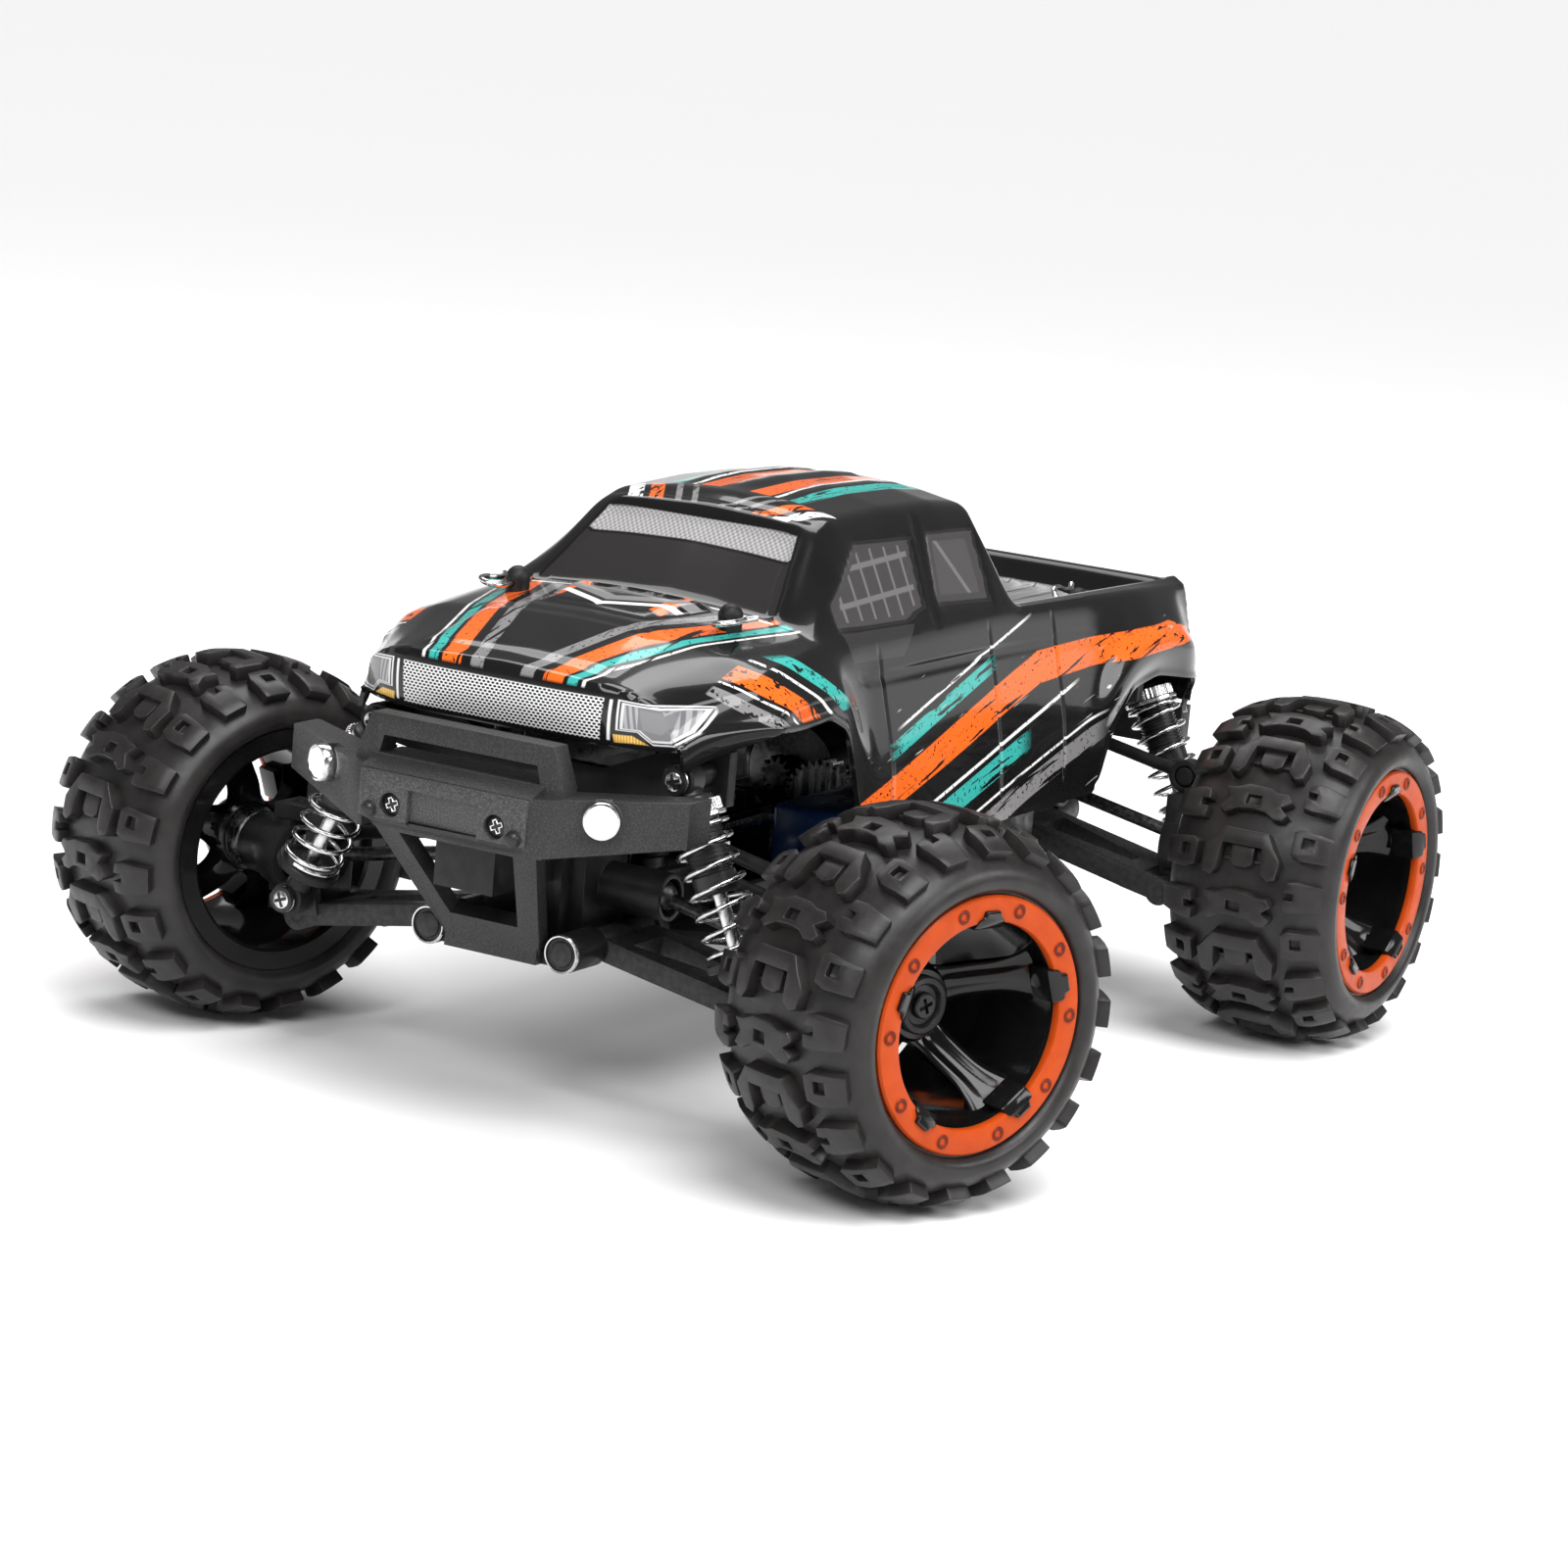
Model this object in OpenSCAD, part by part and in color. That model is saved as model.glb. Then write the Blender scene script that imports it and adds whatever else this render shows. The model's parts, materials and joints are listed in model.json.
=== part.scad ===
// All-wheel-drive radio-controlled monster truck, about 1/16 scale.
// X points forward, Y to the truck's left, Z up; the ground is at Z = 0.
// Corner pieces are drawn at the front left and mirrored to the other corners.

/* [Stance] */
// Distance between the front and rear axles
wheelbase = 176; // [160:1:200]
// Distance between the left and right wheel centres
track = 178; // [166:1:200]
// Overall tyre diameter over the lugs
tyre_d = 78; // [70:1:90]
// Tyre width over the sidewalls
tyre_w = 41; // [36:1:44]
// Steering angle at rest, positive to the left
steer_angle = -20; // [-25:1:25]

/* [Wheels] */
// Diameter of the bead seat on the rim
rim_d = 48.8; // [44:0.2:52]
// Wall of the rim barrel
rim_wall = 2; // [1.4:0.1:3]
// Outer diameter of the bead-lock ring
ring_d = 51.2; // [50:0.2:56]
// Window diameter of the bead-lock ring
ring_window_d = 40.8; // [38:0.2:43]
// Thickness of the bead-lock ring
ring_t = 2; // [1.4:0.1:3]
// Bolts round the bead-lock ring
ring_bolts = 10; // [5:1:12]
// Number of spokes
spoke_count = 5; // [4:1:7]
// Spoke width
spoke_w = 6; // [4:0.5:8]
// Tread lugs round the tyre
lug_count = 20; // [14:1:24]
// Height of the tread lugs
lug_h = 3; // [2:0.25:4]
// Diameter of the stub axles
axle_d = 5; // [4:0.25:6]
// Width across the flats of the wheel hexes
hex_w = 12; // [10:0.5:14]

/* [Suspension] */
// Distance of the kingpin inboard of the wheel centre
kingpin_offset = 23.4; // [22:0.2:26]
// Distance of the outer arm pin inboard of the kingpin
hub_pin_inset = 8; // [7.5:0.25:10]
// Distance of the inner arm pin from the centre line
arm_pin_y = 16; // [16:0.25:18]
// Drop of the arm from its inner to its outer pin
arm_drop = 8; // [4:0.5:10]
// Diameter of the hinge pins
pin_d = 2.5; // [2:0.1:3]
// Thickness of the lower arms
arm_t = 4.5; // [3.5:0.25:5.5]
// Height of the upper links above the axle at the hub
link_rise = 16; // [15:0.5:20]
// Diameter of the link and tie rods
rod_d = 3; // [2:0.25:3.5]
// Diameter of the half shafts
half_shaft_d = 3; // [2:0.25:3.2]

/* [Shocks] */
// Distance of the shocks from the axle, away from the middle
shock_reach = 15; // [14.5:0.25:17]
// Outer diameter of the shock body
shock_body_d = 9; // [7:0.25:9.5]
// Diameter of the shock shaft
shock_shaft_d = 3; // [2:0.25:3.5]
// Diameter of the spring wire
spring_wire_d = 1.1; // [0.8:0.05:1.4]
// Number of spring curls
spring_turns = 8; // [5:1:9]

/* [Steering] */
// Length of the steering arms and cranks
steer_arm_l = 12; // [10:0.5:13]
// Distance of the steering cranks from the centre line
crank_y = 9; // [8.5:0.25:9.5]
// Diameter of the steering balls
ball_d = 4.4; // [3.6:0.1:5]

/* [Chassis and drive] */
// Thickness of the chassis floor
floor_t = 2.5; // [2:0.25:3]
// Width of the chassis tub between the axles
tub_w = 60; // [54:1:70]
// Height of the tub walls above the floor
tub_wall_h = 10; // [6:1:16]
// Length of a gearbox case along the truck
gearbox_l = 16; // [14:0.5:17]
// Thickness of the shock towers
tower_t = 3; // [2:0.25:4]
// Tooth module of the spur gear and pinion
gear_module = 0.6; // [0.5:0.05:0.6]
// Teeth of the spur gear
spur_teeth = 32; // [28:1:32]
// Teeth of the motor pinion
pinion_teeth = 12; // [12:1:16]
// Width of the gears
gear_w = 5; // [3:0.5:8]
// Motor diameter
motor_d = 22; // [18:0.5:22]
// Motor length
motor_l = 36; // [28:1:42]
// Centre drive shaft diameter
drive_shaft_d = 3; // [2:0.25:3]
// Battery pack length
battery_l = 70; // [50:1:84]
// Battery pack width
battery_w = 16; // [12:0.5:16]
// Battery pack height
battery_h = 19; // [12:0.5:24]

/* [Body shell] */
// Thickness of the body shell
shell_t = 1.2; // [0.8:0.1:1.6]
// Half width of the shell at its lower edge
shell_half_w = 47; // [44:0.5:48]
// Height of the roof crown above the axle
roof_h = 86; // [78:1:96]
// Height of the bonnet above the axle
bonnet_h = 60; // [57:1:64]
// Height of the bed floor above the axle
bed_h = 50; // [47:1:54]
// Height of the bed rails above the axle
rail_h = 57; // [54:1:62]
// Body post diameter
post_d = 5; // [4:0.25:6]

/* [Bumper] */
// Half width of the bumper's middle plate
plate_half_w = 20; // [18:0.5:24]
// Half width of the bumper over its wings
wing_half_w = 47; // [42:0.5:52]
// Distance of the bumper's face from the front axle
bumper_reach = 45; // [43:0.5:50]
// Diameter of the bumper lamps
lamp_d = 7.6; // [6:0.2:8]

/* [Fits] */
// Radial play of a running fit
run_fit = 0.05; // [0.03:0.01:0.1]
// Gap between pieces that move past each other
gap = 0.3; // [0.25:0.05:0.4]
// Radial play of a pivot that a linkage is opened at
open_fit = 0.45; // [0.4:0.05:0.5]
// Radial gap between a shock body and its spring
spring_room = 0.75; // [0.5:0.05:1]
// Reach of the collar past the middle of the spring wire
collar_lip = 0.4; // [0.2:0.1:0.6]

/* [Hidden] */
$fn = 48;
far = 300;
eps = 0.01;
front_left = ["front_left", 1, 1];
front_right = ["front_right", 1, -1];
rear_left = ["rear_left", -1, 1];
rear_right = ["rear_right", -1, -1];
CORNERS = [front_left, front_right, rear_left, rear_right];
FRONT = [front_left, front_right];
REAR = [rear_left, rear_right];
CORNER_PIECES = ["tyre", "rim", "beadlock_ring", "lower_arm", "upper_link", "half_shaft", "shock_body",
                 "shock_shaft", "shock_spring"];
FRONT_PIECES = ["caster_block", "steering_knuckle", "tie_rod"];
SINGLE_PIECES = ["chassis_tub", "gearbox_cases", "shock_towers", "front_bumper", "bumper_lamps", "body_shell",
                 "steering_servo", "servo_saver", "idler_crank", "centre_link", "motor", "motor_pinion",
                 "centre_shaft", "battery_pack", "speed_controller", "fasteners"];

// Wheel and suspension points, in the front left corner
axle_x = wheelbase / 2;
axle_z = tyre_d / 2;
wheel_y = track / 2;
kingpin_y = wheel_y - kingpin_offset;
hub_pin_y = kingpin_y - hub_pin_inset;
arm_dy = hub_pin_y - arm_pin_y;
arm_len = norm([arm_dy, arm_drop]);
arm_tilt = -atan2(arm_drop, arm_dy);
arm_in_z = axle_z - 2;
hub_pin_z = arm_in_z - arm_drop;
diff_y = kingpin_y - arm_dy;
diff_z = axle_z + arm_drop;
link_z = axle_z + link_rise;
link_in_z = link_z + arm_drop;
pin_r = pin_d / 2;
rod_r = rod_d / 2;

// Caster block, knuckle and hub carrier, measured from the axle
web_half_x = 6;
web_y0 = hub_pin_y - 2;
web_y1 = hub_pin_y + 2;
web_half_z = 12;
ear_half_x = 4.5;
ear_z0 = 8.4;
ear_z1 = 11.4;
ear_y1 = kingpin_y + 3.5;
ear_flat_z = ear_z0 - 0.2;
kingpin_r = 1.5;
shaft_window_r = 5.4;
cup_r = 5;
cup_bore_r = 3.9;
cup_mouth = 2.5;
cup_depth = 5.5;
shaft_ball_r = cup_bore_r - 0.5;
bearing_y0 = kingpin_y + 5;
bearing_y1 = kingpin_y + 13;
knuckle_r = 7.6;
carrier_r = 8.2;
knuckle_bore_r = cup_r + 0.6;
link_pin_r = 2.1;
link_eye_r = 3.8;
link_eye_t = 4;

// Lower arm, along the truck
arm_x0 = axle_x - 8;
arm_x1 = axle_x + 12;
arm_lug_t = 4;
arm_lug_x0 = axle_x - web_half_x - gap;
arm_lug_x1 = axle_x + web_half_x + gap;
barrel_r = 3.2;
pin_front_x = axle_x + 23.2;
pin_rear_x = arm_x0 - 4.5;

// Shock: top and bottom pivots, and stations down its axis
shock_x = axle_x + shock_reach;
shock_top = [36, axle_z + 36];
shock_bottom = [hub_pin_y - 2, axle_z - 5];
shock_vec = shock_bottom - shock_top;
shock_len = norm(shock_vec);
shock_lean = atan2(shock_vec[0], -shock_vec[1]);
shock_eye_t = 5;
shock_eye_r = 3.6;
shock_pin_r = 1.5;
shock_cap_l = 4;
screw_head_r = 2.7;
screw_head_t = 1;
collar_s0 = 5;
collar_s1 = 8.5;
shock_body_end = 23.5;
shock_bore_s = 9;
shaft_start = 17.5;
cup_s0 = shock_len - 9;
cup_s1 = shock_len - 7;
spring_d = shock_body_d + 2 * spring_room + spring_wire_d;
shock_collar_d = spring_d + 2 * collar_lip;
spring_cup_r = (spring_d + spring_wire_d) / 2 + collar_lip;
shock_arm_u = (shock_bottom[0] - arm_pin_y) * cos(arm_tilt) + (shock_bottom[1] - arm_in_z) * sin(arm_tilt);
shock_arm_w = -(shock_bottom[0] - arm_pin_y) * sin(arm_tilt) + (shock_bottom[1] - arm_in_z) * cos(arm_tilt);

// Steering linkage
crank_x = axle_x - 18.5;
tie_x = axle_x - steer_arm_l;
tie_z = axle_z + 4;
tie_in_z = tie_z + arm_drop;
crank_z0 = axle_z + 11.5;
crank_z1 = axle_z + 14.5;
link_plate_z0 = axle_z + 16;
link_plate_z1 = axle_z + 18.5;
crank_post_r = 2;
crank_foot_r = 3.5;
crank_half_w = 2.4;
crank_hub_r = 4.5;
crank_pin_r = 1.25;
ball_r = ball_d / 2;
ball_stem_r = 1;
socket_r = ball_r + gap + 1.2;
socket_t = 3.4;
steer_shift = steer_arm_l * [1 - cos(steer_angle), -sin(steer_angle)];

// Chassis levels
floor_z0 = axle_z - 5;
floor_z1 = floor_z0 + floor_t;
chassis_end_x = pin_front_x - 0.7;
spine_half_w = 12;
gearbox_x0 = axle_x - 6;
gearbox_x1 = gearbox_x0 + gearbox_l;
gearbox_top = axle_z + 19;
tower_x0 = axle_x + 3.5;
tower_x1 = tower_x0 + tower_t;
drive_z = diff_z;
rear_bumper_x = axle_x + 50;

// Gear pair
spur_r = gear_module * spur_teeth / 2;
pinion_r = gear_module * pinion_teeth / 2;
gear_distance = spur_r + pinion_r;
motor_bearing = 22;
motor_y = -gear_distance * cos(motor_bearing);
motor_z = drive_z + gear_distance * sin(motor_bearing);
gear_x = -24;

// Body shell stations
nose_x = axle_x + 27;
tail_x = -axle_x - 28;
gate_x = tail_x + 4;
screen_base_x = axle_x - 27;
screen_top_x = axle_x - 46;
cab_rear_x = -24;
front_post = [axle_x - 15.4, 25.7];
rear_post = [-axle_x + 6, 28];

// Section heights and half widths along the truck, as [x, value]; z values are above the axle
LOW_Z = [[tail_x, 25], [-axle_x - 25.5, 26], [-axle_x - 21, 35], [-axle_x, 38], [-axle_x + 14, 36],
         [-axle_x + 22, 26], [-axle_x + 27, 14], [axle_x - 44, 13], [axle_x - 37, 26], [axle_x - 30, 42],
         [axle_x - 22, 45.5], [axle_x, 46], [axle_x + 15, 45], [axle_x + 21, 42], [nose_x, 38]];
LOW_Y = [[tail_x, shell_half_w - 5], [-axle_x - 18, shell_half_w], [axle_x + 16, shell_half_w],
         [axle_x + 22, shell_half_w - 7], [nose_x, shell_half_w - 11]];
SIDE_Y = [[tail_x, shell_half_w - 5.5], [-axle_x - 18, shell_half_w + 1], [-20, shell_half_w - 1.5],
          [axle_x - 30, shell_half_w], [axle_x, shell_half_w + 1.5], [axle_x + 15, shell_half_w - 2],
          [axle_x + 21, shell_half_w - 6], [nose_x, shell_half_w - 12]];
BELT_Y = [[tail_x, 39], [-axle_x, 41], [cab_rear_x, 40.5], [screen_base_x, 41], [axle_x, 43],
          [axle_x + 15, 41], [nose_x, 34]];
BELT_Z = [[tail_x, rail_h - 3], [-axle_x, rail_h - 1], [cab_rear_x, 58], [screen_base_x, 59], [axle_x, 55.5],
          [axle_x + 15, 53.5], [nose_x, 50]];
UP_Y = [[tail_x, 36], [cab_rear_x - 4, 36.5], [cab_rear_x, 34], [screen_top_x, 34], [screen_base_x, 37],
        [axle_x, 35], [nose_x, 29]];
UP_Z = [[tail_x, rail_h - 2], [cab_rear_x - 4, rail_h], [cab_rear_x, 69], [screen_top_x, 69],
        [screen_base_x, bonnet_h + 0.5], [axle_x, bonnet_h - 1.5], [nose_x, bonnet_h - 7]];
TOP_Y = [[tail_x, 33], [cab_rear_x - 4, 33], [cab_rear_x, 27], [screen_top_x, 26], [screen_base_x, 30],
         [axle_x, 24], [nose_x, 24]];
TOP_Z = [[gate_x, rail_h - 3], [gate_x + 2, bed_h + 1], [cab_rear_x - 4, bed_h + 1],
         [cab_rear_x, roof_h - 7.5], [cab_rear_x + 30, roof_h - 5], [screen_top_x, roof_h - 8],
         [screen_base_x, bonnet_h + 2], [axle_x, bonnet_h], [nose_x, bonnet_h - 6]];
MID_Y = [[tail_x, 16], [screen_top_x, 14], [screen_base_x, 16], [nose_x, 15]];
MID_Z = [[gate_x, rail_h - 3], [gate_x + 2, bed_h], [cab_rear_x - 4, bed_h], [cab_rear_x, roof_h - 4],
         [cab_rear_x + 30, roof_h - 1.5], [screen_top_x, roof_h - 7], [screen_base_x, bonnet_h + 3],
         [axle_x, bonnet_h + 2], [nose_x, bonnet_h - 5.5]];
CROWN_Z = [[gate_x, rail_h - 3], [gate_x + 2, bed_h], [cab_rear_x - 4, bed_h], [cab_rear_x, roof_h - 3],
           [cab_rear_x + 30, roof_h], [screen_top_x, roof_h - 6], [screen_base_x, bonnet_h + 3.5],
           [axle_x, bonnet_h + 2.5], [nose_x, bonnet_h - 5]];

// Placing

module at_corner(c) {
    mirror([c[1] < 0 ? 1 : 0, 0, 0])
        mirror([0, c[2] < 0 ? 1 : 0, 0])
            children();
}

// Turns a front corner's pieces about its kingpin by the steering angle
module at_knuckle(c) {
    turn = c[1] > 0 ? steer_angle * c[2] : 0;
    at_corner(c)
        translate([axle_x, kingpin_y, 0])
            rotate([0, 0, turn])
                translate([-axle_x, -kingpin_y, 0])
                    children();
}

// Wheel frame: origin at the wheel centre, Z outboard
module at_wheel(c) {
    at_knuckle(c)
        translate([axle_x, wheel_y, axle_z])
            rotate([-90, 0, 0])
                children();
}

// Lower arm frame: origin on the inner pin, X along the truck, Y along the arm
module at_arm(c) {
    at_corner(c)
        translate([0, arm_pin_y, arm_in_z])
            rotate([arm_tilt, 0, 0])
                children();
}

// Shock frame: origin on the top pivot, Z down the shock to its lower eye, X along the truck
module at_shock(c) {
    at_corner(c)
        translate([shock_x, shock_top[0], shock_top[1]])
            rotate([180 + shock_lean, 0, 0])
                children();
}

// Steering parts that shift sideways with the linkage, drawn with the wheels straight
module at_steer_link() {
    translate([steer_shift[0], steer_shift[1], 0])
        children();
}

// Round bar along X, from one X to another
module bar_x(x0, x1, r) {
    translate([x0, 0, 0])
        rotate([0, 90, 0])
            cylinder(r = r, h = x1 - x0);
}

// Round bar along Y, from one Y to another
module bar_y(y0, y1, r) {
    translate([0, y0, 0])
        rotate([-90, 0, 0])
            cylinder(r = r, h = y1 - y0);
}

// Box between two corners
module box(lo, hi) {
    translate(lo)
        cube(hi - lo);
}

// Both sides of the centre line
module both_sides() {
    children();
    mirror([0, 1, 0])
        children();
}

// Both ends of the truck
module both_ends() {
    children();
    mirror([1, 0, 0])
        children();
}

// Wheels

bead_play = 0.1;
bead_r = rim_d / 2 + bead_play;
tread_r = tyre_d / 2 - lug_h;
tyre_wall = 2.2;
bead_half_w = tyre_w / 2 - 3.5;
lug_w = 7.5;
shoulder_lug_w = 6.5;
centre_lug_l = 17;
shoulder_gap = 1.2;
shoulder_lug_l = tyre_w / 2 - centre_lug_l / 2 - shoulder_gap - 0.6;
shoulder_drop = 1;

function tyre_half(inset) = [
    [bead_r, bead_half_w - inset],
    [max(ring_d / 2, flange_r) + 0.4, bead_half_w - inset],
    [bead_r + 3.5, tyre_w / 2 - 0.9 - inset],
    [bead_r + 7, tyre_w / 2 - inset],
    [tread_r - 1.8 - inset / 2, tyre_w / 2 - 1.6 - inset],
    [tread_r - 0.4 - inset, tyre_w / 2 - 5.5 - inset],
    [tread_r - inset, 0]];

function mirrored(half) = [for (i = [len(half) - 2:-1:0]) [half[i][0], -half[i][1]]];

module lug(r0, r1, w, z0, l) {
    translate([r0, -w / 2, z0])
        cube([r1 - r0, w, l]);
}

module tyre(c) {
    outer = tyre_half(0);
    inner = tyre_half(tyre_wall);
    pitch = 360 / lug_count;
    root_r = tread_r - 1;
    color("#1c1b1a")
        at_wheel(c) {
            rotate_extrude($fn = 96)
                polygon(concat(outer, mirrored(outer), [for (p = inner) [p[0], -p[1]]],
                    [for (i = [len(inner) - 2:-1:0]) inner[i]]));
            for (k = [0:lug_count - 1])
                rotate([0, 0, 90 + k * pitch])
                    lug(root_r, tyre_d / 2, lug_w, -centre_lug_l / 2, centre_lug_l);
            for (k = [0:lug_count - 1], side = [0, 1])
                mirror([0, 0, side])
                    rotate([0, 0, 90 + (k + 0.5) * pitch])
                        lug(root_r - 1, tyre_d / 2 - shoulder_drop, shoulder_lug_w,
                            centre_lug_l / 2 + shoulder_gap, shoulder_lug_l);
        }
}

flange_t = 1.6;
flange_r = rim_d / 2 + 1.8;
rim_end = bead_half_w + 0.2;
hub_r = 8;
hub_z0 = -5.2;
hub_z1 = 1.6;
hex_z0 = -9.8;
nut_r = 5.85;
nut_t = 1.5;
nut_head_r = 3;
nut_head_t = 0.9;

module rim_barrel() {
    r = rim_d / 2;
    rotate_extrude($fn = 96)
        polygon([[r - rim_wall, -rim_end - flange_t], [flange_r, -rim_end - flange_t], [flange_r, -rim_end],
                 [r, -rim_end], [r, rim_end], [r - rim_wall, rim_end]]);
}

module spoke() {
    root_r = hub_r - 2;
    tip_r = rim_d / 2 - rim_wall + 0.5;
    tip_z1 = rim_end - 3;
    tip_z0 = tip_z1 - 7;
    rotate([90, 0, 0])
        translate([0, 0, -spoke_w / 2])
            linear_extrude(spoke_w)
                polygon([[root_r, hub_z0 + 1], [root_r, hub_z1], [tip_r, tip_z1], [tip_r, tip_z0]]);
}

module stub_axle() {
    axle_r = axle_d / 2;
    cup_floor = 1;
    cup_bore_l = cup_mouth + cup_depth - 3.5;
    difference() {
        union() {
            translate([0, 0, -kingpin_offset - cup_mouth])
                cylinder(r = cup_r, h = cup_bore_l + cup_floor);
            translate([0, 0, -kingpin_offset])
                cylinder(r = axle_r, h = kingpin_offset + hub_z1);
            translate([0, 0, hex_z0])
                cylinder(d = hex_w / cos(30), h = hub_z0 - hex_z0, $fn = 6);
        }
        translate([0, 0, -kingpin_offset - cup_mouth - eps])
            cylinder(r = cup_bore_r, h = cup_bore_l + eps);
        translate([0, 0, -kingpin_offset])
            sphere(r = cup_bore_r);
    }
}

module rim(c) {
    color("#161616")
        at_wheel(c) {
            difference() {
                union() {
                    rim_barrel();
                    translate([0, 0, hub_z0])
                        cylinder(r = hub_r, h = hub_z1 - hub_z0);
                    for (k = [0:spoke_count - 1])
                        rotate([0, 0, -90 + k * 360 / spoke_count])
                            spoke();
                }
                translate([0, 0, hub_z0 - eps])
                    cylinder(r = axle_d / 2 + run_fit, h = far);
            }
            stub_axle();
            translate([0, 0, hub_z1]) {
                cylinder(r = nut_r, h = nut_t);
                cylinder(r = nut_head_r, h = nut_t + nut_head_t);
            }
        }
}

module beadlock_ring(c) {
    bolt_circle_r = (ring_d + ring_window_d) / 4;
    bolt_r = 1.3;
    bolt_h = 0.5;
    color("#f26a21")
        at_wheel(c)
            translate([0, 0, rim_end]) {
                difference() {
                    cylinder(d = ring_d, h = ring_t, $fn = 96);
                    translate([0, 0, -eps])
                        cylinder(d = ring_window_d, h = ring_t + 2 * eps, $fn = 96);
                }
                for (k = [0:ring_bolts - 1])
                    rotate([0, 0, k * 360 / ring_bolts])
                        translate([bolt_circle_r, 0, ring_t - eps])
                            cylinder(r = bolt_r, h = bolt_h, $fn = 24);
            }
}

// Suspension

module lower_arm(c) {
    plate_end = arm_len - 6.5;
    window_rim = 4;
    window_y0 = 7;
    window_y1 = plate_end - 5;
    window_tip_half = 2;
    lug_half = 3;
    stud_end = shock_x + shock_eye_t / 2 + 0.6;
    shock_lug_x0 = arm_lug_x1 + 2.9;
    shock_lug_x1 = arm_lug_x1 + arm_lug_t + 1;
    color("#1f1f20")
        at_arm(c) {
            difference() {
                union() {
                    bar_x(arm_x0, arm_x1, barrel_r);
                    translate([0, 0, -arm_t / 2])
                        linear_extrude(arm_t)
                            difference() {
                                polygon([[arm_x0, 0], [arm_x1, 0], [arm_lug_x1 + arm_lug_t, plate_end],
                                         [arm_lug_x0 - arm_lug_t, plate_end]]);
                                polygon([[arm_x0 + window_rim, window_y0], [arm_x1 - window_rim, window_y0],
                                         [axle_x + window_tip_half, window_y1],
                                         [axle_x - window_tip_half, window_y1]]);
                            }
                    for (x = [arm_lug_x0 - arm_lug_t, arm_lug_x1]) {
                        box([x, plate_end - 3, -arm_t / 2], [x + arm_lug_t, arm_len, arm_t / 2]);
                        translate([0, arm_len, 0])
                            bar_x(x, x + arm_lug_t, barrel_r);
                    }
                    box([shock_lug_x0, shock_arm_u - lug_half, 0],
                        [shock_lug_x1, shock_arm_u + lug_half, shock_arm_w]);
                    translate([0, shock_arm_u, shock_arm_w])
                        bar_x(shock_lug_x0, shock_lug_x1, lug_half);
                }
                bar_x(0, far, pin_r + run_fit);
                translate([0, arm_len, 0])
                    bar_x(0, far, pin_r + run_fit);
                translate([0, shock_arm_u, shock_arm_w])
                    bar_x(shock_lug_x0 - eps, far, shock_pin_r);
            }
            translate([0, arm_len, 0])
                bar_x(arm_lug_x0 - arm_lug_t, arm_lug_x1 + arm_lug_t, pin_r);
            translate([0, shock_arm_u, shock_arm_w]) {
                bar_x(shock_lug_x0, stud_end, shock_pin_r - run_fit);
                bar_x(stud_end - eps, stud_end + screw_head_t, screw_head_r);
            }
        }
}

// Web with kingpin ears that hangs on the outer arm pin, with the upper link's pin
module hub_web() {
    post_x0 = axle_x + link_eye_t / 2 + gap;
    post_x1 = post_x0 + 3.5;
    post_half = 2.5;
    pin_boss_r = 3;
    box([axle_x - web_half_x, web_y0, axle_z - web_half_z],
        [axle_x + web_half_x, web_y1, axle_z + web_half_z]);
    translate([0, hub_pin_y, hub_pin_z])
        bar_x(axle_x - web_half_x, axle_x + web_half_x, pin_boss_r);
    box([post_x0, hub_pin_y - post_half, axle_z + web_half_z - 1],
        [post_x1, hub_pin_y + post_half, link_z + post_half]);
    translate([0, hub_pin_y, link_z])
        bar_x(axle_x - link_eye_t / 2, post_x1, link_pin_r);
}

module hub_bores() {
    translate([0, hub_pin_y, hub_pin_z])
        bar_x(0, far, pin_r + run_fit);
    translate([axle_x, 0, axle_z + arm_drop * (kingpin_y - hub_pin_y) / arm_dy])
        bar_y(web_y0 - eps, web_y1 + eps, shaft_window_r);
}

module caster_block(c) {
    color("#202022")
        at_corner(c)
            difference() {
                union() {
                    hub_web();
                    for (z = [axle_z + ear_z0, axle_z - ear_z1])
                        box([axle_x - ear_half_x, web_y0, z],
                            [axle_x + ear_half_x, ear_y1, z + ear_z1 - ear_z0]);
                }
                hub_bores();
                for (z = [axle_z + ear_z0, axle_z - ear_z1])
                    translate([axle_x, kingpin_y, z - eps])
                        cylinder(r = kingpin_r + run_fit, h = ear_z1 - ear_z0 + 2 * eps);
            }
}

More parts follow.
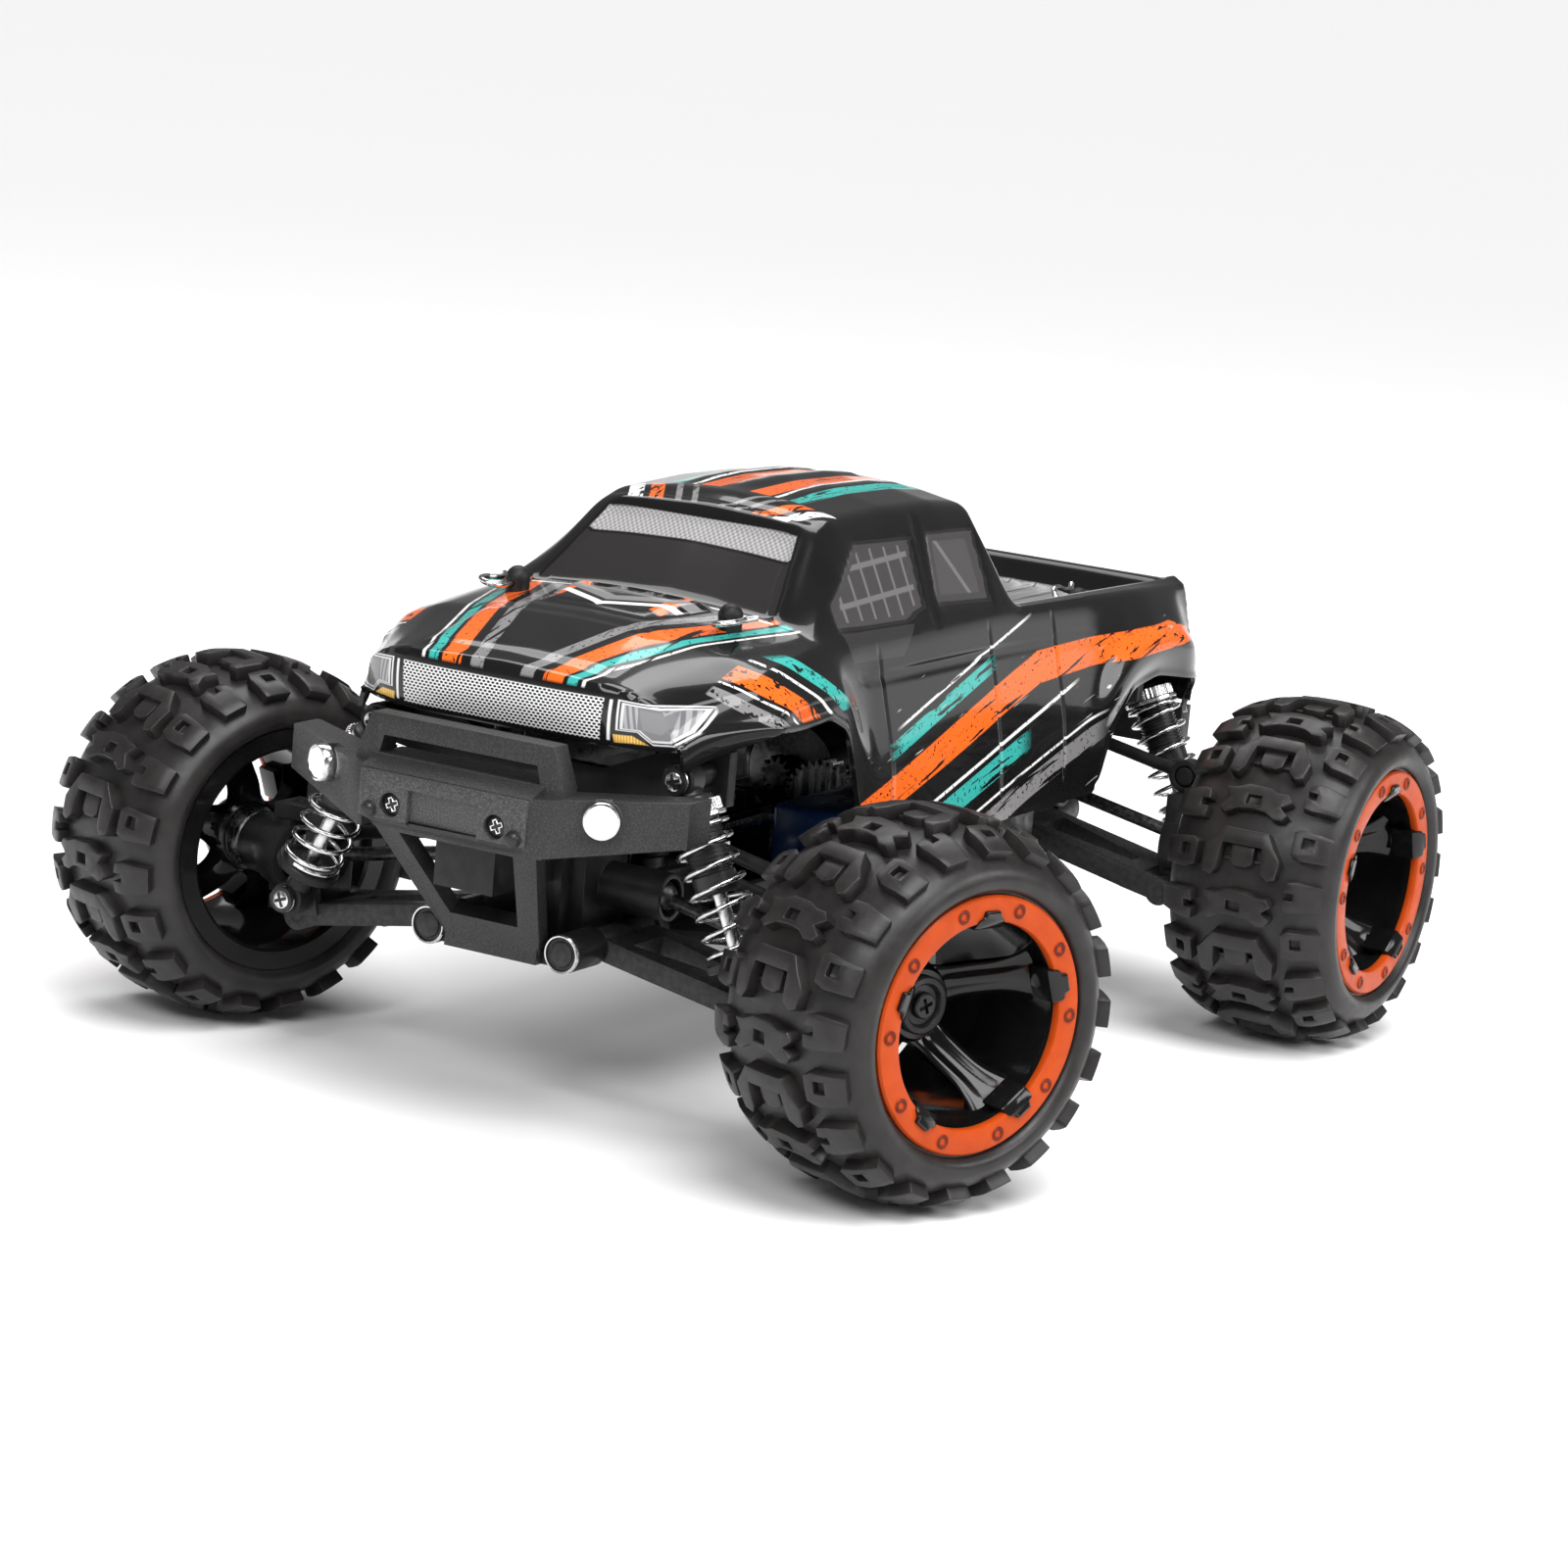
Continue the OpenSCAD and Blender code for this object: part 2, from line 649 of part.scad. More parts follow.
module steering_knuckle(c) {
    arm_w = 5;
    socket_room = 1;
    arm_h = 2;
    arm_z1 = tie_z - ball_r - socket_room;
    arm_z0 = arm_z1 - arm_h;
    flat_half_x = 4;
    color("#242426")
        at_knuckle(c) {
            difference() {
                union() {
                    translate([axle_x, 0, axle_z]) {
                        bar_y(kingpin_y - 2, bearing_y0, knuckle_r);
                        bar_y(bearing_y0 - eps, bearing_y1, knuckle_r - 1);
                    }
                    box([axle_x - flat_half_x, kingpin_y - 2, axle_z - ear_flat_z],
                        [axle_x + flat_half_x, kingpin_y + 4, axle_z + ear_flat_z]);
                    for (z = [axle_z + ear_flat_z - 2, axle_z - ear_z1 + 0.2])
                        translate([axle_x, kingpin_y, z])
                            cylinder(r = kingpin_r, h = ear_z1 - ear_flat_z + 1.8);
                    box([tie_x, kingpin_y - arm_w / 2, arm_z0],
                        [axle_x - knuckle_r + 1, kingpin_y + arm_w / 2, arm_z1]);
                    translate([tie_x, kingpin_y, arm_z0])
                        cylinder(r = arm_w / 2, h = arm_z1 - arm_z0);
                    translate([tie_x, kingpin_y, arm_z0])
                        cylinder(r = ball_stem_r, h = tie_z - arm_z0);
                    translate([tie_x, kingpin_y, tie_z])
                        sphere(r = ball_r);
                }
                translate([axle_x, 0, axle_z]) {
                    bar_y(kingpin_y - 2 - eps, bearing_y0, knuckle_bore_r);
                    bar_y(0, far, axle_d / 2 + run_fit);
                }
            }
        }
}

module hub_carrier(c) {
    color("#202022")
        at_corner(c)
            difference() {
                union() {
                    hub_web();
                    translate([axle_x, 0, axle_z]) {
                        bar_y(web_y0, bearing_y0, carrier_r);
                        bar_y(bearing_y0 - eps, bearing_y1, knuckle_r - 1);
                    }
                }
                hub_bores();
                translate([axle_x, 0, axle_z]) {
                    bar_y(web_y0 - eps, bearing_y0, knuckle_bore_r);
                    bar_y(0, far, axle_d / 2 + run_fit);
                }
            }
}

// Rod along the local Y with an eye on an X axis at each end
module upper_link(c) {
    color("#26262a")
        at_corner(c)
            translate([axle_x, arm_pin_y, link_in_z])
                rotate([arm_tilt, 0, 0])
                    difference() {
                        union() {
                            bar_y(0, arm_len, rod_r);
                            for (y = [0, arm_len])
                                translate([0, y, 0])
                                    bar_x(-link_eye_t / 2, link_eye_t / 2, link_eye_r);
                        }
                        bar_x(-far, far, link_pin_r + run_fit);
                        translate([0, arm_len, 0])
                            bar_x(-far, far, link_pin_r + open_fit);
                    }
}

module half_shaft(c) {
    color("#8d9094")
        at_corner(c)
            translate([axle_x, diff_y, diff_z])
                rotate([arm_tilt, 0, 0]) {
                    bar_y(0, arm_len, half_shaft_d / 2);
                    for (y = [0, arm_len])
                        translate([0, y, 0])
                            sphere(r = shaft_ball_r);
                }
}

// Rod with a ball socket at each end, between the centre link and the knuckle's arm
module tie_rod(c) {
    shift_y = c[2] * steer_shift[1];
    color("#26262a")
        at_corner(c)
            translate([tie_x + steer_shift[0], kingpin_y - arm_dy + shift_y, tie_in_z])
                rotate([arm_tilt, 0, 0])
                    difference() {
                        union() {
                            bar_y(0, arm_len, rod_r);
                            for (y = [0, arm_len])
                                translate([0, y, -socket_t / 2])
                                    cylinder(r = socket_r, h = socket_t);
                        }
                        for (y = [0, arm_len])
                            translate([0, y, -socket_t])
                                cylinder(r = ball_r + gap, h = 2 * socket_t);
                    }
}

// Shocks

module shock_body(c) {
    thread_pitch = 1.5;
    groove = 0.35;
    thread_s = collar_s1 + 1;
    neck_s = 3;
    body_r = shock_body_d / 2;
    color("#1b1b1c")
        at_shock(c)
            difference() {
                union() {
                    bar_x(-shock_eye_t / 2, shock_eye_t / 2, shock_eye_r);
                    translate([0, 0, neck_s])
                        cylinder(r = body_r - 1, h = shock_body_end - neck_s);
                    for (s = [thread_s:thread_pitch:shock_body_end - thread_pitch])
                        translate([0, 0, s])
                            cylinder(r = body_r - groove, h = thread_pitch / 2);
                    translate([0, 0, shock_body_end - shock_cap_l])
                        cylinder(r = body_r, h = shock_cap_l);
                    translate([0, 0, collar_s0])
                        cylinder(d = shock_collar_d, h = collar_s1 - collar_s0);
                }
                bar_x(-far, far, shock_pin_r + run_fit);
                translate([0, 0, shock_bore_s])
                    cylinder(d = shock_shaft_d + 2 * run_fit, h = far);
            }
}

module shock_shaft(c) {
    neck_r = 2.4;
    color("#b9bbbe")
        at_shock(c)
            difference() {
                union() {
                    translate([0, 0, shaft_start])
                        cylinder(d = shock_shaft_d, h = cup_s1 - shaft_start);
                    translate([0, 0, cup_s0])
                        cylinder(r = spring_cup_r, h = cup_s1 - cup_s0);
                    translate([0, 0, cup_s0])
                        cylinder(r = neck_r, h = shock_len - cup_s0 - 1);
                    translate([0, 0, shock_len])
                        bar_x(-shock_eye_t / 2 + 0.2, shock_eye_t / 2 - 0.2, shock_eye_r);
                }
                translate([0, 0, shock_len])
                    bar_x(-far, far, shock_pin_r + open_fit);
            }
}

// Coil spring swept as one tube; each end runs straight down onto its seat
spring_rings = 8;
spring_sides = 6;
spring_r = spring_d / 2;
wire_r = spring_wire_d / 2;
seat_gap = 0.05;
coil_s0 = collar_s1 + seat_gap + spring_wire_d * 1.6;
coil_s1 = cup_s0 - seat_gap - spring_wire_d * 1.6;
coil_steps = spring_turns * spring_rings;

function coil_point(i) =
    let (a = 360 * i / spring_rings)
    [spring_r * cos(a), spring_r * sin(a), coil_s0 + (coil_s1 - coil_s0) * i / coil_steps];

function end_point(i, s) = [coil_point(i)[0], coil_point(i)[1], s];

spring_path = concat(
    [end_point(0, collar_s1 + seat_gap), end_point(0, collar_s1 + seat_gap + spring_wire_d)],
    [for (i = [1:coil_steps - 1]) coil_point(i)],
    [end_point(coil_steps, cup_s0 - seat_gap - spring_wire_d), end_point(coil_steps, cup_s0 - seat_gap)]);

function unit(v) = v / norm(v);

function path_way(path, i) =
    let (n = len(path))
    i == 0 ? unit(path[1] - path[0])
    : i == n - 1 ? unit(path[n - 1] - path[n - 2])
    : unit(unit(path[i + 1] - path[i]) + unit(path[i] - path[i - 1]));

// Ring of a tube, square to its path and turned outward from the coil's axis
function tube_ring(path, i, r, sides) =
    let (
        way = path_way(path, i),
        out = unit([path[i][0], path[i][1], 0]),
        side = unit(cross(way, out)),
        up = cross(side, way))
    [for (k = [0:sides - 1]) path[i] + r * (cos(360 * k / sides) * up + sin(360 * k / sides) * side)];

// Triangles of a tube of n rings with flat ends
function tube_faces(n, sides) = concat(
    [for (k = [1:sides - 2]) [0, k, k + 1]],
    [for (i = [0:n - 2], k = [0:sides - 1], half = [0, 1])
        let (
            a = i * sides + k,
            b = i * sides + (k + 1) % sides)
        half == 0 ? [a, a + sides, b] : [b, a + sides, b + sides]],
    [for (k = [1:sides - 2]) [(n - 1) * sides, (n - 1) * sides + k + 1, (n - 1) * sides + k]]);

// Least gap of the spring to itself, between points at least half a curl apart
spring_self_gap = min([for (i = [0:len(spring_path) - 1], j = [i + spring_rings / 2:1:len(spring_path) - 1])
    norm(spring_path[i] - spring_path[j])]) - spring_wire_d;
echo(spring_self_gap_mm = spring_self_gap);

module shock_spring(c) {
    points = [for (i = [0:len(spring_path) - 1]) each tube_ring(spring_path, i, wire_r, spring_sides)];
    color("#d7d9dc")
        at_shock(c)
            polyhedron(points = points, faces = tube_faces(len(spring_path), spring_sides), convexity = 10);
}

// Steering

// Crank on a vertical post, with a pin for the centre link at its rear end
module steering_crank(side) {
    translate([crank_x, side * crank_y, 0])
        rotate([0, 0, steer_angle])
            difference() {
                union() {
                    translate([0, 0, crank_z0])
                        cylinder(r = crank_hub_r, h = crank_z1 - crank_z0);
                    box([-steer_arm_l, -crank_half_w, crank_z0], [0, crank_half_w, crank_z1]);
                    translate([-steer_arm_l, 0, crank_z0]) {
                        cylinder(r = crank_half_w, h = crank_z1 - crank_z0);
                        cylinder(r = crank_pin_r, h = link_plate_z1 - crank_z0);
                    }
                }
                translate([0, 0, crank_z0 - eps])
                    cylinder(r = crank_post_r + run_fit, h = far);
            }
}

module servo_saver() {
    color("#2b2b2e")
        steering_crank(1);
}

module idler_crank() {
    color("#2b2b2e")
        steering_crank(-1);
}

module centre_link() {
    pin_x = crank_x - steer_arm_l;
    bar_half = 2.75;
    ball_y = kingpin_y - arm_dy;
    color("#77797c")
        at_steer_link()
            difference() {
                union() {
                    box([tie_x - bar_half, -ball_y - bar_half, link_plate_z0],
                        [tie_x + bar_half, ball_y + bar_half, link_plate_z1]);
                    both_sides() {
                        box([pin_x, crank_y - bar_half, link_plate_z0],
                            [tie_x, crank_y + bar_half, link_plate_z1]);
                        translate([pin_x, crank_y, link_plate_z0])
                            cylinder(r = bar_half, h = link_plate_z1 - link_plate_z0);
                        translate([tie_x, ball_y, tie_in_z])
                            cylinder(r = ball_stem_r, h = link_plate_z1 - tie_in_z);
                        translate([tie_x, ball_y, tie_in_z])
                            sphere(r = ball_r);
                    }
                }
                both_sides()
                    translate([pin_x, crank_y, link_plate_z0 - eps])
                        cylinder(r = crank_pin_r + run_fit, h = far);
            }
}

module steering_servo() {
    servo_w = 12;
    servo_l = 23;
    nose = 6;
    x1 = crank_x + nose;
    y0 = crank_y - servo_w / 2 + 0.2;
    top = crank_z0 - 2.5;
    color("#17181a") {
        box([x1 - servo_l, y0, floor_z1], [x1, y0 + servo_w, top]);
        translate([crank_x, crank_y, top - eps])
            cylinder(r = crank_foot_r, h = crank_z0 - gap - top);
        translate([crank_x, crank_y, top])
            cylinder(r = crank_post_r, h = crank_z1 - top);
    }
}

// Drive

function involute_point(base_r, roll) =
    base_r * [cos(roll) + roll * PI / 180 * sin(roll), sin(roll) - roll * PI / 180 * cos(roll)];

// Outline of a spur gear: involute flanks on a 20 degree rack, thinned by a little backlash
module gear_outline(teeth, backlash) {
    pitch_r = gear_module * teeth / 2;
    base_r = pitch_r * cos(20);
    tip_r = pitch_r + gear_module * 0.9;
    root_r = pitch_r - gear_module * 1.25;
    flank_steps = 4;
    tip_roll = sqrt(pow(tip_r / base_r, 2) - 1) * 180 / PI;
    pitch_roll = tan(20) * 180 / PI;
    pitch_turn = pitch_roll - 20;
    half_tooth = 90 / teeth - backlash / 2 / pitch_r * 180 / PI;
    flank = [for (i = [0:flank_steps]) involute_point(base_r, tip_roll * i / flank_steps)];
    polygon([for (t = [0:teeth - 1])
        let (
            mid = 360 * t / teeth,
            lead = mid - half_tooth - pitch_turn,
            trail = mid + half_tooth + pitch_turn)
        each concat(
            [root_r * [cos(lead), sin(lead)]],
            [for (p = flank) [p[0] * cos(lead) - p[1] * sin(lead), p[0] * sin(lead) + p[1] * cos(lead)]],
            [for (i = [flank_steps:-1:0])
                let (p = [flank[i][0], -flank[i][1]])
                [p[0] * cos(trail) - p[1] * sin(trail), p[0] * sin(trail) + p[1] * cos(trail)]],
            [root_r * [cos(trail), sin(trail)]])]);
}

gear_backlash = 0.16;
motor_shaft_r = 1;
motor_shaft_l = 6;
shaft_seat_l = 4;

// Gear on an X axis, turned so that a tooth points along the given bearing in the YZ plane
module gear_x_axis(teeth, turn) {
    rotate([90, 0, 90])
        rotate([0, 0, turn])
            linear_extrude(gear_w)
                gear_outline(teeth, gear_backlash);
}

module centre_shaft() {
    shaft_end = gearbox_x0 + shaft_seat_l;
    mesh_bearing = 180 - motor_bearing;
    color("#9a9da1")
        translate([0, 0, drive_z]) {
            bar_x(-shaft_end, shaft_end, drive_shaft_d / 2);
            translate([gear_x, 0, 0])
                gear_x_axis(spur_teeth, mesh_bearing);
        }
}

module motor_pinion() {
    half_pitch = 180 / pinion_teeth;
    color("#b08d3c")
        translate([0, motor_y, motor_z]) {
            translate([gear_x, 0, 0])
                gear_x_axis(pinion_teeth, -motor_bearing + half_pitch);
            bar_x(gear_x - motor_shaft_l, gear_x + eps, motor_shaft_r);
        }
}

module motor() {
    front_x = gear_x - 1;
    nose_t = 1;
    nose_r = 3.5;
    block_half_w = 5;
    block_inset = 6;
    block_drop = 2;
    color("#3a3c40")
        difference() {
            union() {
                translate([0, motor_y, motor_z]) {
                    bar_x(front_x - motor_l, front_x - nose_t, motor_d / 2);
                    bar_x(front_x - nose_t - eps, front_x, nose_r);
                }
                box([front_x - motor_l + block_inset, motor_y - block_half_w, floor_z1],
                    [front_x - block_inset, motor_y + block_half_w, motor_z - block_drop]);
            }
            translate([0, motor_y, motor_z])
                bar_x(gear_x - motor_shaft_l - 1, far, motor_shaft_r + run_fit);
        }
}

// Gearbox case with a cup on each side for the half shafts and a bore for the centre shaft
module gearbox_case() {
    corner = 3;
    difference() {
        union() {
            translate([gearbox_x0, 0, 0])
                rotate([90, 0, 90])
                    linear_extrude(gearbox_l)
                        polygon([[-spine_half_w, floor_z1], [spine_half_w, floor_z1],
                                 [spine_half_w, gearbox_top - corner], [spine_half_w - corner, gearbox_top],
                                 [corner - spine_half_w, gearbox_top],
                                 [-spine_half_w, gearbox_top - corner]]);
            both_sides()
                translate([axle_x, 0, diff_z])
                    bar_y(spine_half_w - eps, diff_y + cup_mouth, cup_r);
        }
        both_sides()
            translate([axle_x, 0, diff_z]) {
                bar_y(diff_y, diff_y + far, cup_bore_r);
                translate([0, diff_y, 0])
                    sphere(r = cup_bore_r);
            }
        translate([0, 0, drive_z])
            bar_x(gearbox_x0 - eps, gearbox_x0 + shaft_seat_l + gap, drive_shaft_d / 2 + run_fit);
    }
}

module gearbox_cases() {
    color("#232325")
        both_ends()
            gearbox_case();
}

// Tower plate with the shock pins, the upper links' inner pins and two body posts
module shock_tower(post, post_top) {
    wing = shock_top[0] + 5;
    wing_w = 10;
    wing_z = axle_z + 30;
    top = shock_top[1] + 5;
    brow_z = axle_z + 33;
    brow_half_w = 12;
    foot_half_w = 20;
    knee_half_w = foot_half_w + 2;
    knee_z = axle_z + 27;
    shock_boss_r = 2.6;
    link_boss_r = 3;
    bracket_half_w = 2.2;
    pin_end = shock_x + shock_eye_t / 2 + 0.6;
    seat_r = 4.2;
    seat_t = 1.5;
    bracket_z0 = axle_z + 28;
    bracket_z1 = bracket_z0 + 4;
    seat_drop = 0.5;
    seat_z = axle_z + shell_height(post[0], post[1]) - shell_t - gap - seat_drop;
    post_x = abs(post[0]);
    translate([tower_x0, 0, 0])
        rotate([90, 0, 90])
            linear_extrude(tower_t)
                polygon([[-foot_half_w, gearbox_top], [foot_half_w, gearbox_top], [knee_half_w, knee_z],
                         [wing, wing_z], [wing, top], [wing - wing_w, top], [brow_half_w, brow_z],
                         [-brow_half_w, brow_z], [wing_w - wing, top], [-wing, top], [-wing, wing_z],
                         [-knee_half_w, knee_z]]);
    both_sides() {
        translate([0, shock_top[0], shock_top[1]]) {
            bar_x(tower_x1 - eps, shock_x - shock_eye_t / 2 - gap, shock_boss_r);
            bar_x(tower_x1 - eps, pin_end, shock_pin_r);
            bar_x(pin_end - eps, pin_end + screw_head_t, screw_head_r);
        }
        translate([0, arm_pin_y, link_in_z]) {
            bar_x(axle_x + link_eye_t / 2 + gap, tower_x0 + eps, link_boss_r);
            bar_x(axle_x - link_eye_t / 2 - 0.2, tower_x0 + eps, link_pin_r);
        }
        box([post_x - post_d / 2, post[1] - bracket_half_w, bracket_z0],
            [tower_x0 + eps, post[1] + bracket_half_w, bracket_z1]);
        translate([post_x, post[1], 0]) {
            difference() {
                union() {
                    translate([0, 0, bracket_z0])
                        cylinder(d = post_d, h = post_top - bracket_z0);
                    translate([0, 0, post_top])
                        sphere(r = max(knob_r, post_d / 2));
                }
                translate([0, 0, clip_z(post)])
                    bar_x(-post_d, post_d, clip_wire_r + run_fit);
            }
            translate([0, 0, seat_z - seat_t])
                cylinder(r = seat_r, h = seat_t);
        }
    }
}

clip_wire_r = 0.7;
clip_rise = 1.6;
post_rise = 2.6;
knob_r = 2.6;

function clip_z(post) = axle_z + shell_height(post[0], post[1]) + clip_rise;
function post_top(post) = axle_z + shell_height(post[0], post[1]) + post_rise;

module shock_towers() {
    color("#1e1e20") {
        shock_tower(front_post, post_top(front_post));
        mirror([1, 0, 0])
            shock_tower(rear_post, post_top(rear_post));
    }
}

// Chassis

// Block that holds one end of an inner arm pin
module pin_block(x0, x1) {
    r = 4;
    translate([0, arm_pin_y, arm_in_z])
        bar_x(x0, x1, r);
    box([x0, spine_half_w - 0.6, floor_z0], [x1, arm_pin_y, arm_in_z]);
}

module chassis_tub() {
    half = tub_w / 2;
    tub_end = axle_x - 22;
    neck = axle_x - 12;
    wall = 2;
    strut_w = 6;
    strut_root_x = chassis_end_x - 8;
    bar_half_w = 34;
    bar_t = 5;
    bar_z0 = axle_z + 13;
    bar_z1 = axle_z + 23;
    color("#1a1a1b")
        difference() {
            union() {
                translate([0, 0, floor_z0])
                    linear_extrude(floor_t)
                        both_ends()
                            both_sides()
                                polygon([[0, 0], [chassis_end_x, 0], [chassis_end_x, spine_half_w],
                                         [neck, spine_half_w], [tub_end, half], [0, half]]);
                both_sides()
                    box([-tub_end, half - wall, floor_z0], [tub_end, half, floor_z1 + tub_wall_h]);
                both_ends()
                    both_sides() {
                        pin_block(arm_x1 + gap, chassis_end_x);
                        pin_block(pin_rear_x + 1, arm_x0 - gap);
                    }
                translate([crank_x, -crank_y, floor_z0])
                    cylinder(r = crank_foot_r, h = crank_z0 - gap - floor_z0);
                translate([crank_x, -crank_y, floor_z0])
                    cylinder(r = crank_post_r, h = crank_z1 - floor_z0);
                both_sides()
                    mirror([1, 0, 0])
                        translate([0, spine_half_w - 1, 0])
                            rotate([90, 0, 0])
                                linear_extrude(strut_w)
                                    polygon([[strut_root_x, floor_z0], [chassis_end_x + 4, floor_z0],
                                             [rear_bumper_x, bar_z0], [rear_bumper_x, bar_z1],
                                             [rear_bumper_x - bar_t, bar_z1],
                                             [rear_bumper_x - bar_t, bar_z0 + 3],
                                             [chassis_end_x + 2, floor_z1 + 2],
                                             [strut_root_x, floor_z1 + 2]]);
                box([-rear_bumper_x, -bar_half_w, bar_z0], [bar_t - rear_bumper_x, bar_half_w, bar_z1]);
            }
            both_ends()
                both_sides()
                    translate([0, arm_pin_y, arm_in_z])
                        bar_x(pin_rear_x, pin_front_x, pin_r + run_fit);
        }
}

// Inner arm pins, bumper screws and body clips
module fasteners() {
    color("#c3c5c8") {
        both_ends()
            both_sides()
                translate([0, arm_pin_y, arm_in_z])
                    bar_x(pin_rear_x, pin_front_x, pin_r);
        both_sides()
            translate([0, screw_y, screw_z])
                bar_x(bumper_x - bumper_screw_depth + run_fit, bumper_x - screw_sink,
                      bumper_screw_r - run_fit);
        both_sides() {
            body_clip(front_post, 1);
            body_clip(rear_post, -1);
        }
    }
}

// Wire clip: a leg through the post, a round bow ahead of it and a second leg beside it, on the given side
module body_clip(post, side) {
    bow_r = 2.4;
    leg = 6;
    tip = 4;
    leg_r = clip_wire_r - run_fit;
    translate([post[0], post[1], clip_z(post)]) {
        bar_x(-tip, leg, leg_r);
        translate([leg, side * bow_r, 0])
            rotate([0, 0, -90])
                rotate_extrude(angle = 180)
                    translate([bow_r, 0])
                        circle(r = leg_r, $fn = 24);
        translate([0, side * 2 * bow_r, 0])
            bar_x(tip / 2 - tip, leg, leg_r);
    }
}

module battery_pack() {
    y0 = spur_r + gear_module + 1;
    middle_x = -12;
    color("#2f5fa8")
        box([middle_x - battery_l / 2, y0, floor_z1],
            [middle_x + battery_l / 2, y0 + battery_w, floor_z1 + battery_h]);
}

module speed_controller() {
    x0 = -8;
    case_l = 38;
    y1 = -6;
    case_w = 21;
    case_z1 = floor_z1 + 11;
    fins = 7;
    fin_pitch = 4.5;
    fin_t = 1.5;
    fin_h = 4;
    fin_inset = 2;
    fin_x0 = x0 + 4;
    color("#303235") {
        box([x0, y1 - case_w, floor_z1], [x0 + case_l, y1, case_z1]);
        for (k = [0:fins - 1])
            box([fin_x0 + k * fin_pitch, y1 - case_w + fin_inset, case_z1 - eps],
                [fin_x0 + k * fin_pitch + fin_t, y1 - fin_inset, case_z1 + fin_h]);
    }
}

// Bumper

bumper_x = axle_x + bumper_reach;
bumper_screw_r = 2.4;
bumper_screw_depth = 8;
screw_sink = 1.2;
screw_y = 12.3;
screw_z = axle_z + 26.3;
lamp_y = 33;
lamp_z = axle_z + 30.5;
lamp_turn = 26;
lamp_x = bumper_x - 5.5;
lamp_depth = 4;
lamp_rise = 1.5;
strut_foot_x = axle_x + 23.5;
plate_z0 = axle_z + 23;
plate_z1 = axle_z + 33;
plate_back = 14;

module at_lamp() {
    translate([lamp_x, lamp_y, lamp_z])
        rotate([0, 0, lamp_turn])
            children();
}

// Wing swept back from the middle plate to its outer tip
module bumper_wing() {
    tip_x = bumper_x - 14.5;
    tip_z0 = axle_z + 26;
    tip_z1 = axle_z + 35;
    tip_t = 8;
    root_y = plate_half_w;
    root_z0 = plate_z0 - 2;
    root_t = 12;
    hull() {
        box([bumper_x - root_t, root_y - 1, root_z0], [bumper_x, root_y, plate_z1]);
        box([tip_x - tip_t, wing_half_w - 1, tip_z0], [tip_x, wing_half_w, tip_z1]);
    }
}

module bumper_hoop() {
    foot_half = 24.3;
    top_half = 21.3;
    slot_half = 19;
    foot_z = axle_z + 32;
    top_z = axle_z + 43;
    slot_z0 = axle_z + 35.2;
    slot_z1 = axle_z + 38.8;
    hoop_t = 5;
    hoop_back = 9.5;
    translate([bumper_x - hoop_back, 0, 0])
        rotate([90, 0, 90])
            linear_extrude(hoop_t)
                difference() {
                    polygon([[-foot_half, foot_z], [foot_half, foot_z], [foot_half, foot_z + 3],
                             [top_half, top_z], [-top_half, top_z], [-foot_half, foot_z + 3]]);
                    polygon([[-slot_half, slot_z0], [slot_half, slot_z0], [slot_half - 1, slot_z1],
                             [1 - slot_half, slot_z1]]);
                }
}

// Tapered frame that leans back from the middle plate down to the skid
module bumper_struts() {
    foot_z = floor_z0 + 2;
    run = bumper_x - 3 - strut_foot_x;
    rise = plate_z0 - foot_z;
    slope_l = norm([run, rise]);
    strut_t = 3.5;
    bottom_half = spine_half_w - 0.9;
    rim_w = 4;
    sill_w = rim_w + 3;
    window_half0 = bottom_half - 3;
    window_half1 = plate_half_w - 6.5;
    translate([strut_foot_x, 0, foot_z])
        rotate([0, atan2(run, rise), 0])
            rotate([90, 0, 90])
                translate([0, 0, -strut_t])
                    linear_extrude(strut_t)
                        difference() {
                            polygon([[-bottom_half, 0], [bottom_half, 0], [plate_half_w, slope_l],
                                     [-plate_half_w, slope_l]]);
                            polygon([[-window_half0, sill_w], [window_half0, sill_w],
                                     [window_half1, slope_l - rim_w], [-window_half1, slope_l - rim_w]]);
                        }
}

